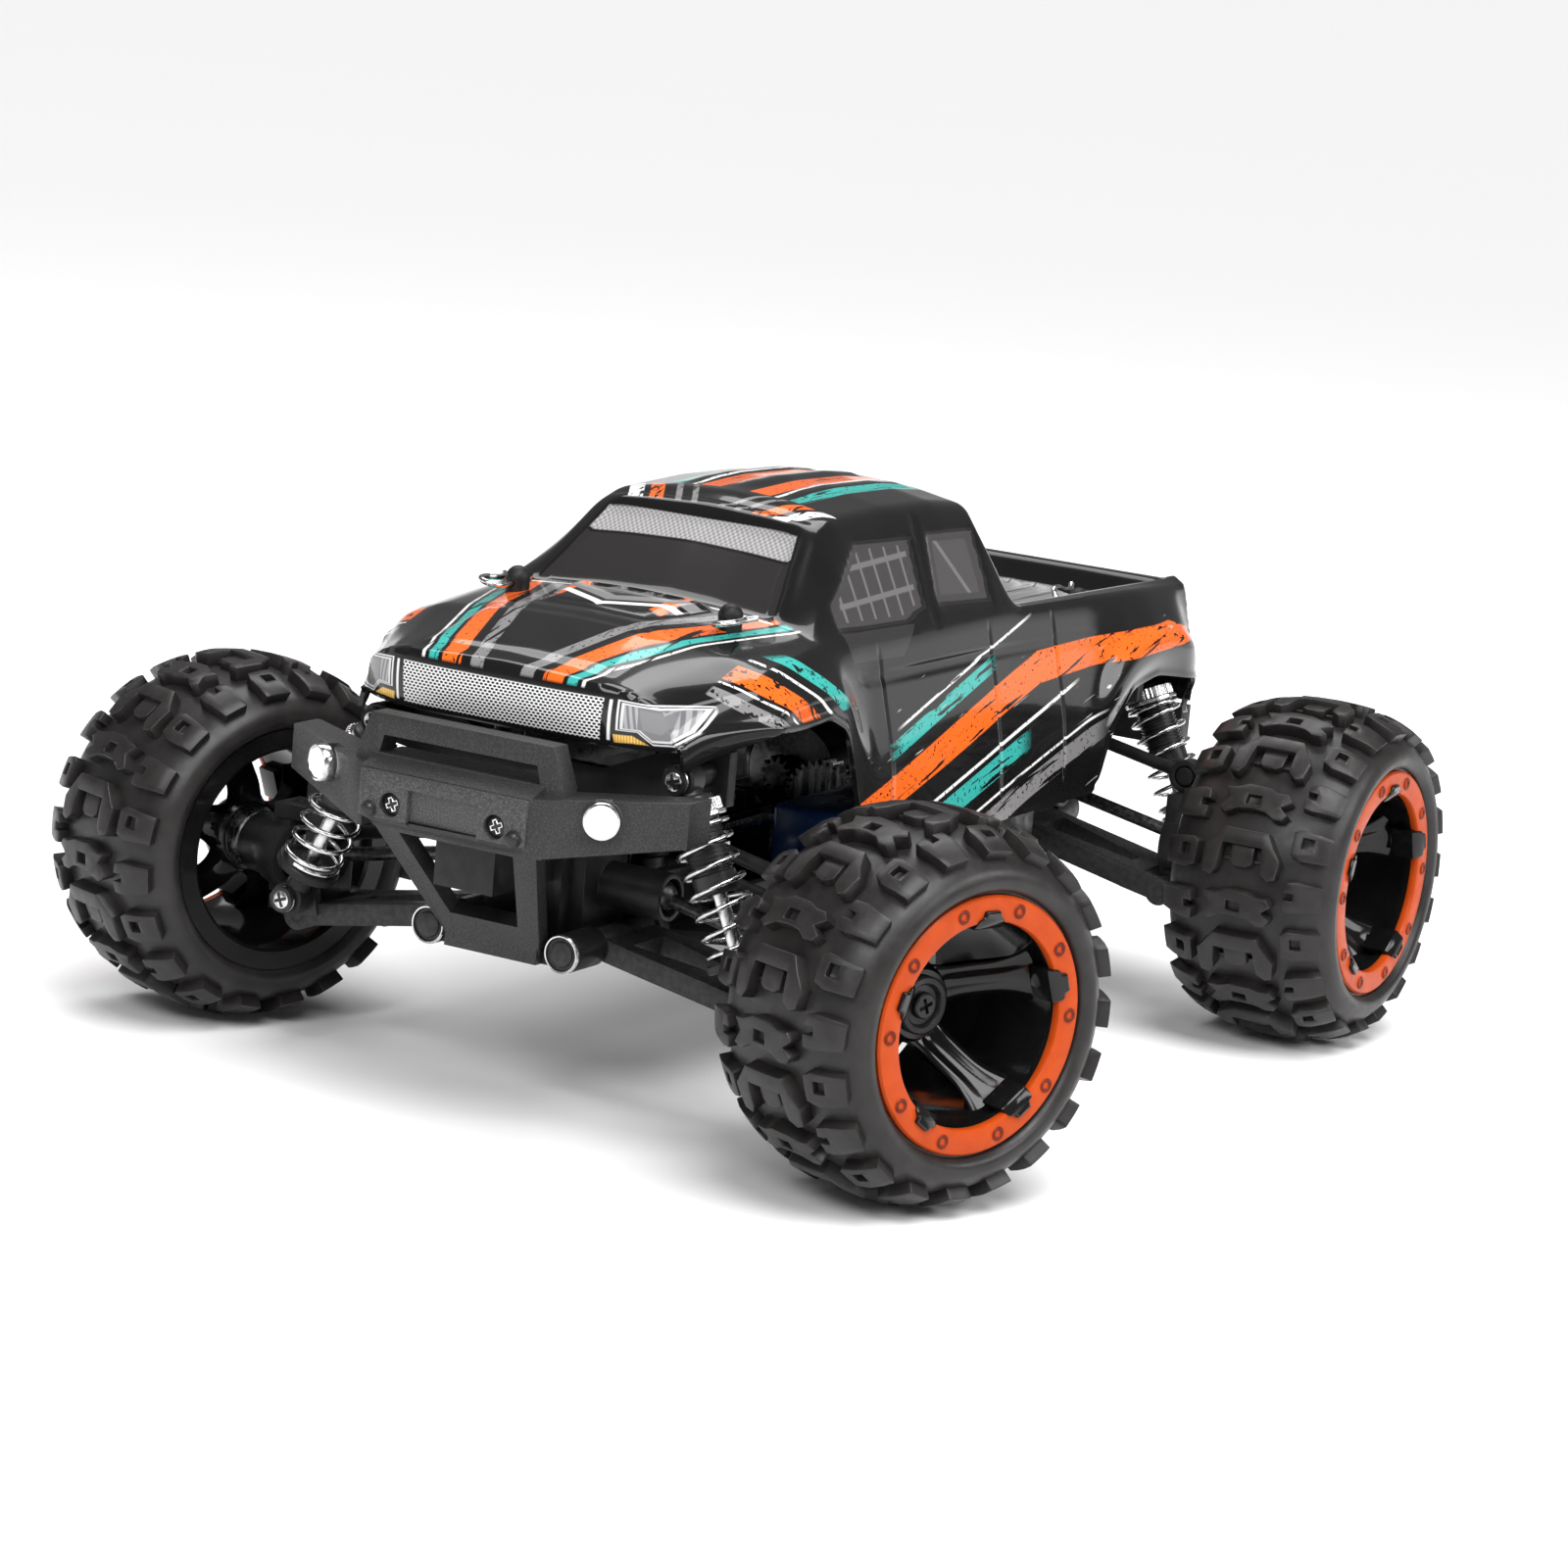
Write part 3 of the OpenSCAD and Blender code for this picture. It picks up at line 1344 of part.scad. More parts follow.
module front_bumper() {
    button_y = 17;
    button_z = axle_z + 24.7;
    button_r = 1.7;
    recess_half = 8.5;
    recess_z1 = axle_z + 30;
    mount_x = gearbox_x1;
    mount_half_w = 9;
    mount_t = 4;
    beam_half_w = 7;
    beam_z0 = axle_z + 10;
    beam_z1 = axle_z + 17;
    color("#2a2a2c")
        difference() {
            union() {
                translate([0, plate_half_w, 0])
                    rotate([90, 0, 0])
                        linear_extrude(2 * plate_half_w)
                            polygon([[bumper_x, plate_z0], [bumper_x, plate_z1], [bumper_x - 5, plate_z1 + 2],
                                     [bumper_x - plate_back, plate_z1 + 2],
                                     [bumper_x - plate_back, plate_z0 + 2],
                                     [bumper_x - 6, plate_z0 - 3]]);
                both_sides()
                    bumper_wing();
                bumper_hoop();
                bumper_struts();
                box([mount_x, -mount_half_w, floor_z1], [mount_x + mount_t, mount_half_w, beam_z1]);
                box([mount_x, -beam_half_w, beam_z0], [bumper_x - plate_back + 2, beam_half_w, beam_z1]);
                box([bumper_x - plate_back - 1, -beam_half_w, beam_z0],
                    [bumper_x - 9, beam_half_w, plate_z0 + 4]);
                box([chassis_end_x, 1 - spine_half_w, floor_z0],
                    [strut_foot_x + 1, spine_half_w - 1, floor_z0 + 4]);
                both_sides()
                    translate([0, button_y, button_z])
                        bar_x(bumper_x - 1, bumper_x + 1, button_r);
            }
            both_sides() {
                translate([0, screw_y, screw_z])
                    bar_x(bumper_x - bumper_screw_depth, far, bumper_screw_r);
                at_lamp()
                    bar_x(-lamp_depth, far, lamp_d / 2);
            }
            box([bumper_x - 1, -recess_half, plate_z0 - 1], [bumper_x + 1, recess_half, recess_z1]);
        }
}

module bumper_lamps() {
    color("#f4f6f8")
        both_sides()
            at_lamp() {
                bar_x(run_fit - lamp_depth, lamp_rise, lamp_d / 2 - run_fit);
                translate([lamp_rise, 0, 0])
                    bar_x(-eps, 1, lamp_d / 2 - 1);
            }
}

// Body shell

// Half section at x, from the lower edge up to the centre line, as [y, z] with z above the axle
function half_section(x) =
    let (
        low = lookup(x, LOW_Z),
        belt = lookup(x, BELT_Z))
    [[lookup(x, LOW_Y), low],
     [lookup(x, SIDE_Y), low + 0.4 * (belt - low)],
     [lookup(x, BELT_Y), belt],
     [lookup(x, UP_Y), lookup(x, UP_Z)],
     [lookup(x, TOP_Y), lookup(x, TOP_Z)],
     [lookup(x, MID_Y), lookup(x, MID_Z)],
     [0, lookup(x, CROWN_Z)]];

// Height of the shell above the axle at a point on its top
function shell_height(x, y) =
    let (h = half_section(x))
    lookup(y, [[0, h[6][1]], h[5], h[4], h[3], h[2]]);

function whole_section(x) =
    let (h = half_section(x))
    concat(h, [for (i = [len(h) - 2:-1:0]) [-h[i][0], h[i][1]]]);

function shell_row(x, x_shift, squash) =
    let (
        s = whole_section(x),
        low = s[0][1])
    [for (p = s)
        [x + x_shift, p[0] * (1 - 0.03 * squash), axle_z + low - squash + (p[1] - low) * (1 - squash)]];

// Stations from nose to tail; the end rows close the nose and the tailgate
shell_xs = concat(
    [for (i = [0:12]) nose_x + (screen_base_x - nose_x) * i / 12],
    [for (i = [1:3]) screen_base_x + (screen_top_x - screen_base_x) * i / 3],
    [for (i = [1:6]) screen_top_x + (cab_rear_x - screen_top_x) * i / 6],
    [for (i = [0:11]) cab_rear_x - 4 + (gate_x + 2 - cab_rear_x + 4) * i / 11],
    [gate_x, tail_x]);
shell_rows = concat(
    [shell_row(nose_x, -0.6, 1)],
    [for (x = shell_xs) shell_row(x, 0, 0)],
    [shell_row(tail_x, 0.6, 1)]);
shell_cols = len(shell_rows[0]);

function clamp(i, top) = max(0, min(top, i));

// Outward direction of the shell at a row and column
function shell_way(i, j) =
    let (
        last = len(shell_rows) - 1,
        along = shell_rows[clamp(i + 1, last)][j] - shell_rows[clamp(i - 1, last)][j],
        across = shell_rows[i][clamp(j + 1, shell_cols - 1)] - shell_rows[i][clamp(j - 1, shell_cols - 1)])
    unit(cross(along, across));

module shell_skin() {
    rows = len(shell_rows);
    cols = shell_cols;
    count = rows * cols;
    points = concat(
        [for (i = [0:rows - 1], j = [0:cols - 1]) shell_rows[i][j]],
        [for (i = [0:rows - 1], j = [0:cols - 1]) shell_rows[i][j] - shell_t * shell_way(i, j)]);
    skin = [for (i = [0:rows - 2], j = [0:cols - 2], half = [0, 1])
        let (a = i * cols + j)
        half == 0 ? [a, a + cols, a + 1] : [a + 1, a + cols, a + cols + 1]];
    inside = [for (f = skin) [f[2] + count, f[1] + count, f[0] + count]];
    border = concat(
        [for (j = [0:cols - 2]) [j, j + 1]],
        [for (i = [0:rows - 2]) [i * cols + cols - 1, (i + 1) * cols + cols - 1]],
        [for (j = [cols - 1:-1:1]) [(rows - 1) * cols + j, (rows - 1) * cols + j - 1]],
        [for (i = [rows - 1:-1:1]) [i * cols, (i - 1) * cols]]);
    edge = [for (e = border, half = [0, 1])
        half == 0 ? [e[0], e[1], e[0] + count] : [e[1], e[1] + count, e[0] + count]];
    polyhedron(points = points, faces = concat(skin, inside, edge), convexity = 10);
}

module body_shell() {
    hole_r = 3.3;
    color("#1b1c1f")
        difference() {
            shell_skin();
            both_sides()
                for (post = [front_post, rear_post])
                    translate([post[0], post[1], axle_z + shell_height(post[0], post[1]) - 6])
                        cylinder(r = hole_r, h = 12);
        }
}

for (c = CORNERS) {
    tyre(c);
    rim(c);
    beadlock_ring(c);
    lower_arm(c);
    upper_link(c);
    half_shaft(c);
    shock_body(c);
    shock_shaft(c);
    shock_spring(c);
}
for (c = FRONT) {
    caster_block(c);
    steering_knuckle(c);
    tie_rod(c);
}
for (c = REAR) {
    hub_carrier(c);
}
chassis_tub();
gearbox_cases();
shock_towers();
front_bumper();
bumper_lamps();
body_shell();
steering_servo();
servo_saver();
idler_crank();
centre_link();
motor();
motor_pinion();
centre_shaft();
battery_pack();
speed_controller();
fasteners();
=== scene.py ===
import json
import math

import bmesh
import bpy
from mathutils import Matrix, Vector

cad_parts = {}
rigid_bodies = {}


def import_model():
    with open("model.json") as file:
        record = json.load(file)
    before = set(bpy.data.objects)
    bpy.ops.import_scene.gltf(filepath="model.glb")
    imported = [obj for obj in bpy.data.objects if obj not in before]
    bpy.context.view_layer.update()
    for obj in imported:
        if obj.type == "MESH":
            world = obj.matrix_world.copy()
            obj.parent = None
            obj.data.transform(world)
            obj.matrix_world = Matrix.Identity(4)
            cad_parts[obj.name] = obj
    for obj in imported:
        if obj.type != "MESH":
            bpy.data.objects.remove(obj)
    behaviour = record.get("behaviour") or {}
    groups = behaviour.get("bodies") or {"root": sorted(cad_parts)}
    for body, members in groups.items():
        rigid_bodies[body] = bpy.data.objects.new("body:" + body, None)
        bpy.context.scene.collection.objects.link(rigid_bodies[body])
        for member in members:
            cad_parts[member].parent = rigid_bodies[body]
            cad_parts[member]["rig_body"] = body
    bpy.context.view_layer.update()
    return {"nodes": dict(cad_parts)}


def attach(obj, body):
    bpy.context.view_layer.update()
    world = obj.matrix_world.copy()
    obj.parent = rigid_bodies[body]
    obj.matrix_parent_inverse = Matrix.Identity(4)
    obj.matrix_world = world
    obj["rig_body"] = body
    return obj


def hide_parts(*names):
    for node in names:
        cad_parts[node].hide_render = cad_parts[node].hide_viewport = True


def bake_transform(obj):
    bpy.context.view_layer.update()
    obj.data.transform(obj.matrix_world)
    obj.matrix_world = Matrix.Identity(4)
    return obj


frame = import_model()

# Sizes are in millimetres and become metres when a mesh is made
MM = 0.001
CORNERS = (("front_left", 1, 1), ("front_right", 1, -1), ("rear_left", -1, 1), ("rear_right", -1, -1))
AXLE_X = 88
AXLE_Z = 39
KINGPIN_Y = 65.6
KINGPIN_OFFSET = 23.4
STEER = math.radians(-20)


# Modelling

def activate(piece):
    """Selects one piece alone, in object mode."""
    if bpy.context.object and bpy.context.object.mode != "OBJECT":
        bpy.ops.object.mode_set(mode="OBJECT")
    bpy.ops.object.select_all(action="DESELECT")
    piece.select_set(True)
    bpy.context.view_layer.objects.active = piece


def edit(piece):
    """Opens a piece for editing with all of it selected."""
    activate(piece)
    bpy.ops.object.mode_set(mode="EDIT")
    bpy.ops.mesh.select_all(action="SELECT")


def close():
    bpy.ops.object.mode_set(mode="OBJECT")


def pick(piece, test):
    """Selects the vertices of an open piece whose place, in mm, passes a test."""
    bpy.ops.mesh.select_mode(type="VERT")
    bpy.ops.mesh.select_all(action="DESELECT")
    mesh = bmesh.from_edit_mesh(piece.data)
    for vert in mesh.verts:
        vert.select = test(vert.co / MM)
    mesh.select_flush_mode()
    bmesh.update_edit_mesh(piece.data)


def from_points(name, points, line=False):
    """A new piece from points in mm: one face, or a line of edges."""
    mesh = bpy.data.meshes.new(name)
    places = [Vector(p) * MM for p in points]
    count = len(places)
    if line:
        mesh.from_pydata(places, [(i, i + 1) for i in range(count - 1)], [])
    else:
        mesh.from_pydata(places, [], [list(range(count))])
    piece = bpy.data.objects.new(name, mesh)
    bpy.context.scene.collection.objects.link(piece)
    return piece


def turned(name, profile, steps):
    """Spins a line of (radius, height) points about Z."""
    piece = from_points(name, [(r, 0, z) for r, z in profile], line=True)
    edit(piece)
    bpy.ops.mesh.spin(steps=steps, angle=2 * math.pi, center=(0, 0, 0), axis=(0, 0, 1))
    bpy.ops.mesh.select_all(action="SELECT")
    bpy.ops.mesh.remove_doubles(threshold=0.002 * MM)
    bpy.ops.mesh.normals_make_consistent(inside=False)
    close()
    return piece


def plate(name, outline, low, high):
    """Extrudes an outline of (x, y) points from one height to another."""
    piece = from_points(name, [(x, y, low) for x, y in outline])
    edit(piece)
    bpy.ops.mesh.extrude_region_move(TRANSFORM_OT_translate={"value": (0, 0, (high - low) * MM)})
    bpy.ops.mesh.select_all(action="SELECT")
    bpy.ops.mesh.normals_make_consistent(inside=False)
    close()
    return piece


def block(name, low, high):
    """A box between two corners, from a scaled and placed cube."""
    bpy.ops.object.select_all(action="DESELECT")
    bpy.ops.mesh.primitive_cube_add(size=1)
    piece = bpy.context.active_object
    piece.name = name
    size = Vector(high) - Vector(low)
    middle = (Vector(high) + Vector(low)) / 2
    shift(piece, Matrix.Translation(middle * MM) @ Matrix.Diagonal((*(size * MM), 1)))
    return piece


def shift(piece, matrix):
    """Moves a piece's mesh and leaves its object at the origin."""
    piece.data.transform(matrix)
    if matrix.determinant() < 0:
        piece.data.flip_normals()


def apply(piece, kind, **settings):
    """Adds a modifier, sets it and applies it."""
    modifier = piece.modifiers.new(kind, kind)
    for key, value in settings.items():
        setattr(modifier, key, value)
    activate(piece)
    bpy.ops.object.modifier_apply(modifier=modifier.name)


def soften(piece, width, segments=2, angle=35):
    """Rounds the edges that turn by more than an angle."""
    apply(piece, "BEVEL", width=width * MM, segments=segments, limit_method="ANGLE",
          angle_limit=math.radians(angle), use_clamp_overlap=True)


def cut(piece, cutter, operation="DIFFERENCE"):
    """Cuts one piece out of another, or joins it on, and removes it."""
    apply(piece, "BOOLEAN", object=cutter, operation=operation, solver="EXACT")
    bpy.data.objects.remove(cutter)


def join(pieces, name):
    activate(pieces[0])
    for piece in pieces[1:]:
        piece.select_set(True)
    bpy.ops.object.join()
    pieces[0].name = name
    return pieces[0]


def smooth(piece, angle):
    activate(piece)
    bpy.ops.object.shade_smooth_by_angle(angle=math.radians(angle))


def tube(name, points, radius):
    """A round wire along points in mm, as a mesh."""
    curve = bpy.data.curves.new(name, "CURVE")
    curve.dimensions = "3D"
    curve.bevel_depth = radius * MM
    curve.bevel_resolution = 3
    curve.use_fill_caps = True
    spline = curve.splines.new("POLY")
    spline.points.add(len(points) - 1)
    for knot, place in zip(spline.points, points):
        knot.co = (*(Vector(place) * MM), 1)
    piece = bpy.data.objects.new(name, curve)
    bpy.context.scene.collection.objects.link(piece)
    activate(piece)
    bpy.ops.object.convert(target="MESH")
    return bpy.context.active_object


def put(piece, body, slot, finish, *nodes):
    """Gives a finished piece its material, its body and the CAD nodes it stands for."""
    if finish is not None:
        piece.data.materials.clear()
        piece.data.materials.append(finish)
    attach(piece, body)
    if nodes:
        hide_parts(*nodes)
    return piece


def copy_of(model, name, matrix):
    """A copy with its own mesh, at a place."""
    piece = bpy.data.objects.new(name, model.data.copy())
    piece.data.name = name
    bpy.context.scene.collection.objects.link(piece)
    shift(piece, matrix)
    return piece


# Finishes

class Finish:
    """A node material whose patterns read object coordinates."""

    def __init__(self, name, colour, rough, metal=0.0):
        self.material = bpy.data.materials.new(name)
        self.material.use_nodes = True
        self.tree = self.material.node_tree
        self.shader = self.tree.nodes["Principled BSDF"]
        self.set("Base Color", (*colour, 1))
        self.set("Roughness", rough)
        self.set("Metallic", metal)
        self.place = self.node("ShaderNodeTexCoord").outputs["Object"]

    def node(self, kind, inputs=None, **settings):
        made = self.tree.nodes.new(kind)
        for key, value in settings.items():
            setattr(made, key, value)
        for key, value in (inputs or {}).items():
            self.feed(made.inputs[key], value)
        return made

    def feed(self, socket, value):
        if isinstance(value, bpy.types.NodeSocket):
            self.tree.links.new(value, socket)
        else:
            socket.default_value = value

    def set(self, name, value):
        self.feed(self.shader.inputs[name], value)

    def math(self, operation, a, b=0.0, c=0.0):
        return self.node("ShaderNodeMath", {0: a, 1: b, 2: c}, operation=operation).outputs[0]

    def noise(self, scale, detail=3.0, stretch=(1, 1, 1)):
        spread = self.node("ShaderNodeMapping", {"Vector": self.place, "Scale": stretch})
        made = self.node("ShaderNodeTexNoise", {"Vector": spread.outputs[0], "Scale": scale, "Detail": detail})
        return made.outputs["Fac"]

    def spread(self, value, low, high, to_low=0.0, to_high=1.0):
        made = self.node("ShaderNodeMapRange", {0: value, 1: low, 2: high, 3: to_low, 4: to_high})
        return made.outputs[0]

    def blend(self, share, a, b):
        made = self.node("ShaderNodeMix", data_type="RGBA")
        for socket, value in ((made.inputs[0], share), (made.inputs[6], a), (made.inputs[7], b)):
            self.feed(socket, (*value, 1) if isinstance(value, tuple) and len(value) == 3 else value)
        return made.outputs[2]

    def bump(self, height, strength, distance):
        made = self.node("ShaderNodeBump", {"Height": height, "Strength": strength, "Distance": distance * MM})
        self.set("Normal", made.outputs[0])


def mottled(name, dark, light, rough, scale, grain, strength, gloss=0.5, rough_span=0.12):
    """Soft patches of two colours, uneven gloss and a fine surface grain."""
    finish = Finish(name, dark, rough)
    finish.set("Specular IOR Level", gloss)
    patches = finish.noise(scale, 4.0)
    finish.set("Base Color", finish.blend(finish.spread(patches, 0.35, 0.68), dark, light))
    uneven = finish.noise(scale * 2.3, 3.0)
    finish.set("Roughness", finish.spread(uneven, 0.3, 0.7, rough - rough_span, rough + rough_span))
    finish.bump(finish.noise(grain, 2.0), strength, 0.1)
    return finish.material


def speckled(name, dark, light, rough, gloss):
    """Sand-blasted plastic: small pale grains on a dark ground."""
    finish = Finish(name, dark, rough)
    finish.set("Specular IOR Level", gloss)
    grains = finish.noise(2900.0, 2.0)
    patches = finish.blend(finish.spread(finish.noise(120.0, 3.0), 0.35, 0.7), dark, tuple(c * 1.35 for c in dark))
    finish.set("Base Color", finish.blend(finish.spread(grains, 0.44, 0.66), patches, light))
    finish.set("Roughness", finish.spread(grains, 0.3, 0.7, rough + 0.1, rough - 0.1))
    finish.bump(grains, 0.6, 0.12)
    return finish.material


def brushed(name, dark, light, rough, stretch=(1, 1, 1)):
    """Bare metal with fine drawn lines."""
    finish = Finish(name, light, rough, 1.0)
    lines = finish.noise(900.0, 3.0, stretch)
    finish.set("Base Color", finish.blend(finish.spread(lines, 0.35, 0.65), dark, light))
    finish.set("Roughness", finish.spread(lines, 0.3, 0.7, rough - 0.08, rough + 0.1))
    finish.bump(lines, 0.12, 0.05)
    return finish.material


tyre_rubber = mottled("tyre_rubber", (0.0115, 0.0103, 0.01), (0.0205, 0.0187, 0.0183), rough=0.38, scale=170.0,
                      grain=1500.0, strength=0.16, gloss=0.34, rough_span=0.06)
rim_black = mottled("rim_gloss_black", (0.0045, 0.0043, 0.0043), (0.008, 0.0077, 0.0077), rough=0.12, scale=90.0,
                    grain=500.0, strength=0.04, gloss=0.34, rough_span=0.04)
ring_orange = mottled("ring_orange", (0.395, 0.045, 0.0032), (0.45, 0.057, 0.0048), rough=0.34, scale=220.0,
                      grain=2400.0, strength=0.12, gloss=0.16, rough_span=0.06)
ring_mark = mottled("ring_mark", (0.085, 0.008, 0.002), (0.125, 0.012, 0.003), rough=0.42, scale=220.0,
                    grain=2400.0, strength=0.1, gloss=0.2)
moulded = mottled("moulded_black", (0.0075, 0.0075, 0.0078), (0.013, 0.013, 0.0134), rough=0.44, scale=140.0,
                  grain=2200.0, strength=0.25, gloss=0.25)
satin_black = mottled("satin_black", (0.011, 0.011, 0.0112), (0.018, 0.018, 0.0185), rough=0.34, scale=120.0,
                      grain=1800.0, strength=0.12, gloss=0.35)
sand_arm = mottled("sand_arm", (0.013, 0.013, 0.0135), (0.028, 0.028, 0.029), rough=0.48, scale=700.0,
                   grain=2400.0, strength=0.5, gloss=0.3)
battery_wrap = mottled("battery_wrap", (0.015, 0.06, 0.22), (0.025, 0.09, 0.3), rough=0.22, scale=60.0,
                       grain=700.0, strength=0.15)
sand_black = speckled("sand_black", (0.0105, 0.0105, 0.011), (0.029, 0.029, 0.0302), rough=0.46, gloss=0.4)
# The middle plate's finish is the same sand-blasted black made lighter: painted light for the lit face of the raised
# plate
sand_plate_painted_light = speckled("sand_plate_painted_light", (0.022, 0.022, 0.023), (0.068, 0.068, 0.0705), rough=0.46, gloss=0.45)
steel = brushed("bright_steel", (0.5, 0.5, 0.51), (0.74, 0.74, 0.75), rough=0.24, stretch=(1, 1, 0.1))
bright_collar = brushed("bright_collar", (0.6, 0.6, 0.6), (0.84, 0.84, 0.83), rough=0.22)
spring_wire = brushed("spring_wire", (0.5, 0.5, 0.5), (0.74, 0.74, 0.73), rough=0.16)
motor_can = brushed("motor_can", (0.05, 0.05, 0.052), (0.1, 0.1, 0.104), rough=0.36, stretch=(0.1, 1, 1))
brass = brushed("pinion_brass", (0.55, 0.38, 0.12), (0.74, 0.56, 0.24), rough=0.26, stretch=(0.2, 1, 1))


# Tyres

TREAD_R = 37
TYRE_WALL = 1.6
LUG_SETS = 10
FIRST_LUG = 95
LUG_ROOT = 1.0
LUG_DRAFT = 0.95
LUG_BEVEL = 0.2
# Keeps a section's plane off an outline's own corners
OFF_CORNER = 0.013
# Half profile of the carcass as (radius, half width), from the crown to the bead
CARCASS = ((36.0, 0), (35.9, 4), (35.6, 8), (35.0, 11.5), (34.0, 14.6), (32.6, 17.2), (30.9, 19.1), (28.9, 20.2),
           (27.3, 20.0), (26.3, 18.9), (25.95, 17.3), (24.6, 17.1))
# Lugs as outlines of (length round the tyre, length along the profile from the crown)
U_BLOCK = ((5.25, -8.6), (5.76, -6.6), (3.96, -5.3), (-1.98, -4.9), (-1.98, 4.7), (3.61, 5.2), (5.07, 7.2),
           (4.47, 8.7), (0.34, 9.2), (-5.5, 5.4), (-5.5, -5), (-0.69, -9.1))
U_TAB = ((-2.24, -2.9), (1.89, -2.9), (2.84, -1.6), (2.84, 1.4), (1.89, 2.8), (-2.24, 2.8))
U_STEP = ((0.86, -4.9), (1.63, -4.9), (1.63, 4.7), (0.86, 4.7))
X_BLOCK = ((2.69, -8.2), (3.61, -6.3), (2.1, -3.6), (1.76, 0), (2.1, 3.2), (3.44, 5.4), (3.28, 7.6), (1.85, 8.5),
           (0.34, 6.4), (-1.43, 8.6), (-3.02, 7.5), (-2.94, 5), (-3.78, 2.6), (-3.95, -2.4), (-2.77, -5.2),
           (-2.52, -8), (-0.17, -6.2))
NOTCH_LUG = ((3.68, 10.51), (3.92, 12.38), (3.28, 18.16), (-2.88, 18.47), (-3.52, 13.16), (-3.12, 10.82),
             (-0.72, 10.28), (-0.72, 12.31), (1.04, 12.31), (1.04, 10.2))
HOLE_LUG = ((2.72, 10.51), (3.76, 12.7), (3.6, 18.31), (-3.12, 18.55), (-3.6, 11.76), (-2.8, 10.36))


def carcass_at(along):
    """Radius, half width and outward direction at a length along the profile from the crown."""
    side = 1 if along >= 0 else -1
    left = abs(along)
    for (r0, z0), (r1, z1) in zip(CARCASS, CARCASS[1:]):
        step = math.hypot(r1 - r0, z1 - z0)
        if left <= step:
            break
        left -= step
    share = min(left / step, 1)
    way = ((r1 - r0) / step, (z1 - z0) / step)
    return r0 + share * (r1 - r0), side * (z0 + share * (z1 - z0)), way[1], -side * way[0]


def wrap(piece):
    """Bends a flat lug, x round the tyre, y along its profile and z outward, onto the carcass."""
    for vert in piece.data.vertices:
        x, y, z = vert.co / MM
        radius, width, out, aside = carcass_at(y)
        radius += z * out
        angle = x / TREAD_R
        vert.co = Vector((radius * math.cos(angle), radius * math.sin(angle), width + z * aside)) * MM


def lug(name, outline, height, pocket=None):
    """A tread block with drafted sides and, where it has one, a pocket, bent onto the carcass."""
    piece = plate(name, outline, -LUG_ROOT, height)
    edit(piece)
    pick(piece, lambda p: p.z > height - 0.01)
    bpy.ops.transform.resize(value=(LUG_DRAFT, LUG_DRAFT, 1))
    close()
    if pocket:
        (x0, y0), (x1, y1), floor = pocket
        cut(piece, block("pocket", (x0, y0, floor), (x1, y1, height + 3)))
    soften(piece, LUG_BEVEL, 2, 40)
    # Sections every 2 mm, where the flat block bends
    edit(piece)
    for way, places in (((1, 0, 0), range(-6, 7, 2)), ((0, 1, 0), range(-8, 21, 2))):
        for place in places:
            bpy.ops.mesh.select_all(action="SELECT")
            bpy.ops.mesh.bisect(plane_co=[c * (place + OFF_CORNER) * MM for c in way], plane_no=way)
    close()
    wrap(piece)
    return piece


def tyre_model():
    outer = list(CARCASS)
    inner = [(r - TYRE_WALL, z * 0.9) for r, z in CARCASS[:9]] + [(24.6, 15.6)]
    loop = [(r, -z) for r, z in outer[::-1]] + outer[1:] + inner[::-1] + [(r, -z) for r, z in inner[1:]]
    carcass = turned("carcass", loop + loop[:1], 120)
    u_block = lug("u_block", U_BLOCK, 3.0)
    u_tab = lug("u_tab", U_TAB, 1.9)
    u_step = lug("u_step", U_STEP, 0.9)
    x_block = lug("x_block", X_BLOCK, 2.9, ((-1.4, -1.9), (0.8, 1.3), 1.3))
    notch = lug("notch_lug", NOTCH_LUG, 2.5)
    hole = lug("hole_lug", HOLE_LUG, 2.5, ((-1.7, 12.4), (0.9, 14.8), 0.7))
    half_step = math.radians(180 / LUG_SETS)
    pieces = [carcass]
    for k in range(LUG_SETS):
        base = math.radians(FIRST_LUG + 360 / LUG_SETS * k)
        for model, turn in ((u_block, base), (u_tab, base), (u_step, base), (x_block, base + half_step)):
            pieces.append(copy_of(model, "lug", Matrix.Rotation(turn, 4, "Z")))
        # Shoulder lugs, those of the inner side half a step on
        for model, turn in ((notch, base + half_step * 0.62), (hole, base + half_step * 1.62)):
            pieces.append(copy_of(model, "lug", Matrix.Rotation(turn, 4, "Z")))
            other = Matrix.Rotation(turn + half_step * 0.5, 4, "Z") @ Matrix.Diagonal((1, 1, -1, 1))
            pieces.append(copy_of(model, "lug", other))
    for model in (u_block, u_tab, u_step, x_block, notch, hole):
        bpy.data.objects.remove(model)
    tyre = join(pieces, "tyre_model")
    smooth(tyre, 42)
    return tyre


# Rims

# Profiles as (radius, height toward the outer side from the wheel's middle)
RIM_BARREL = ((22.3, -18.8), (26.1, -18.8), (26.2, -18.2), (26.2, -17.4), (24.5, -17.2), (24.3, -15), (22.9, -13.4),
              (22.9, 13.2), (24.3, 15), (24.4, 17.1), (20.6, 17.1), (20.5, 16.4), (21.3, 14.6), (21.3, 0), (21.3, -16),
              (21.6, -18.3), (22.3, -18.8))
HUB = ((2.6, -5.2), (7.2, -5.2), (8.0, -4.6), (8.2, -1.0), (7.6, 0.9), (6.9, 1.6), (2.6, 1.6), (2.6, -5.2))
NUT = ((0, 3.4), (2.3, 3.4), (2.6, 3.15), (2.7, 2.0), (3.9, 1.95), (4.1, 2.5), (4.5, 2.9), (5.5, 2.9), (5.85, 2.6),
       (5.85, 1.4), (0, 1.4))
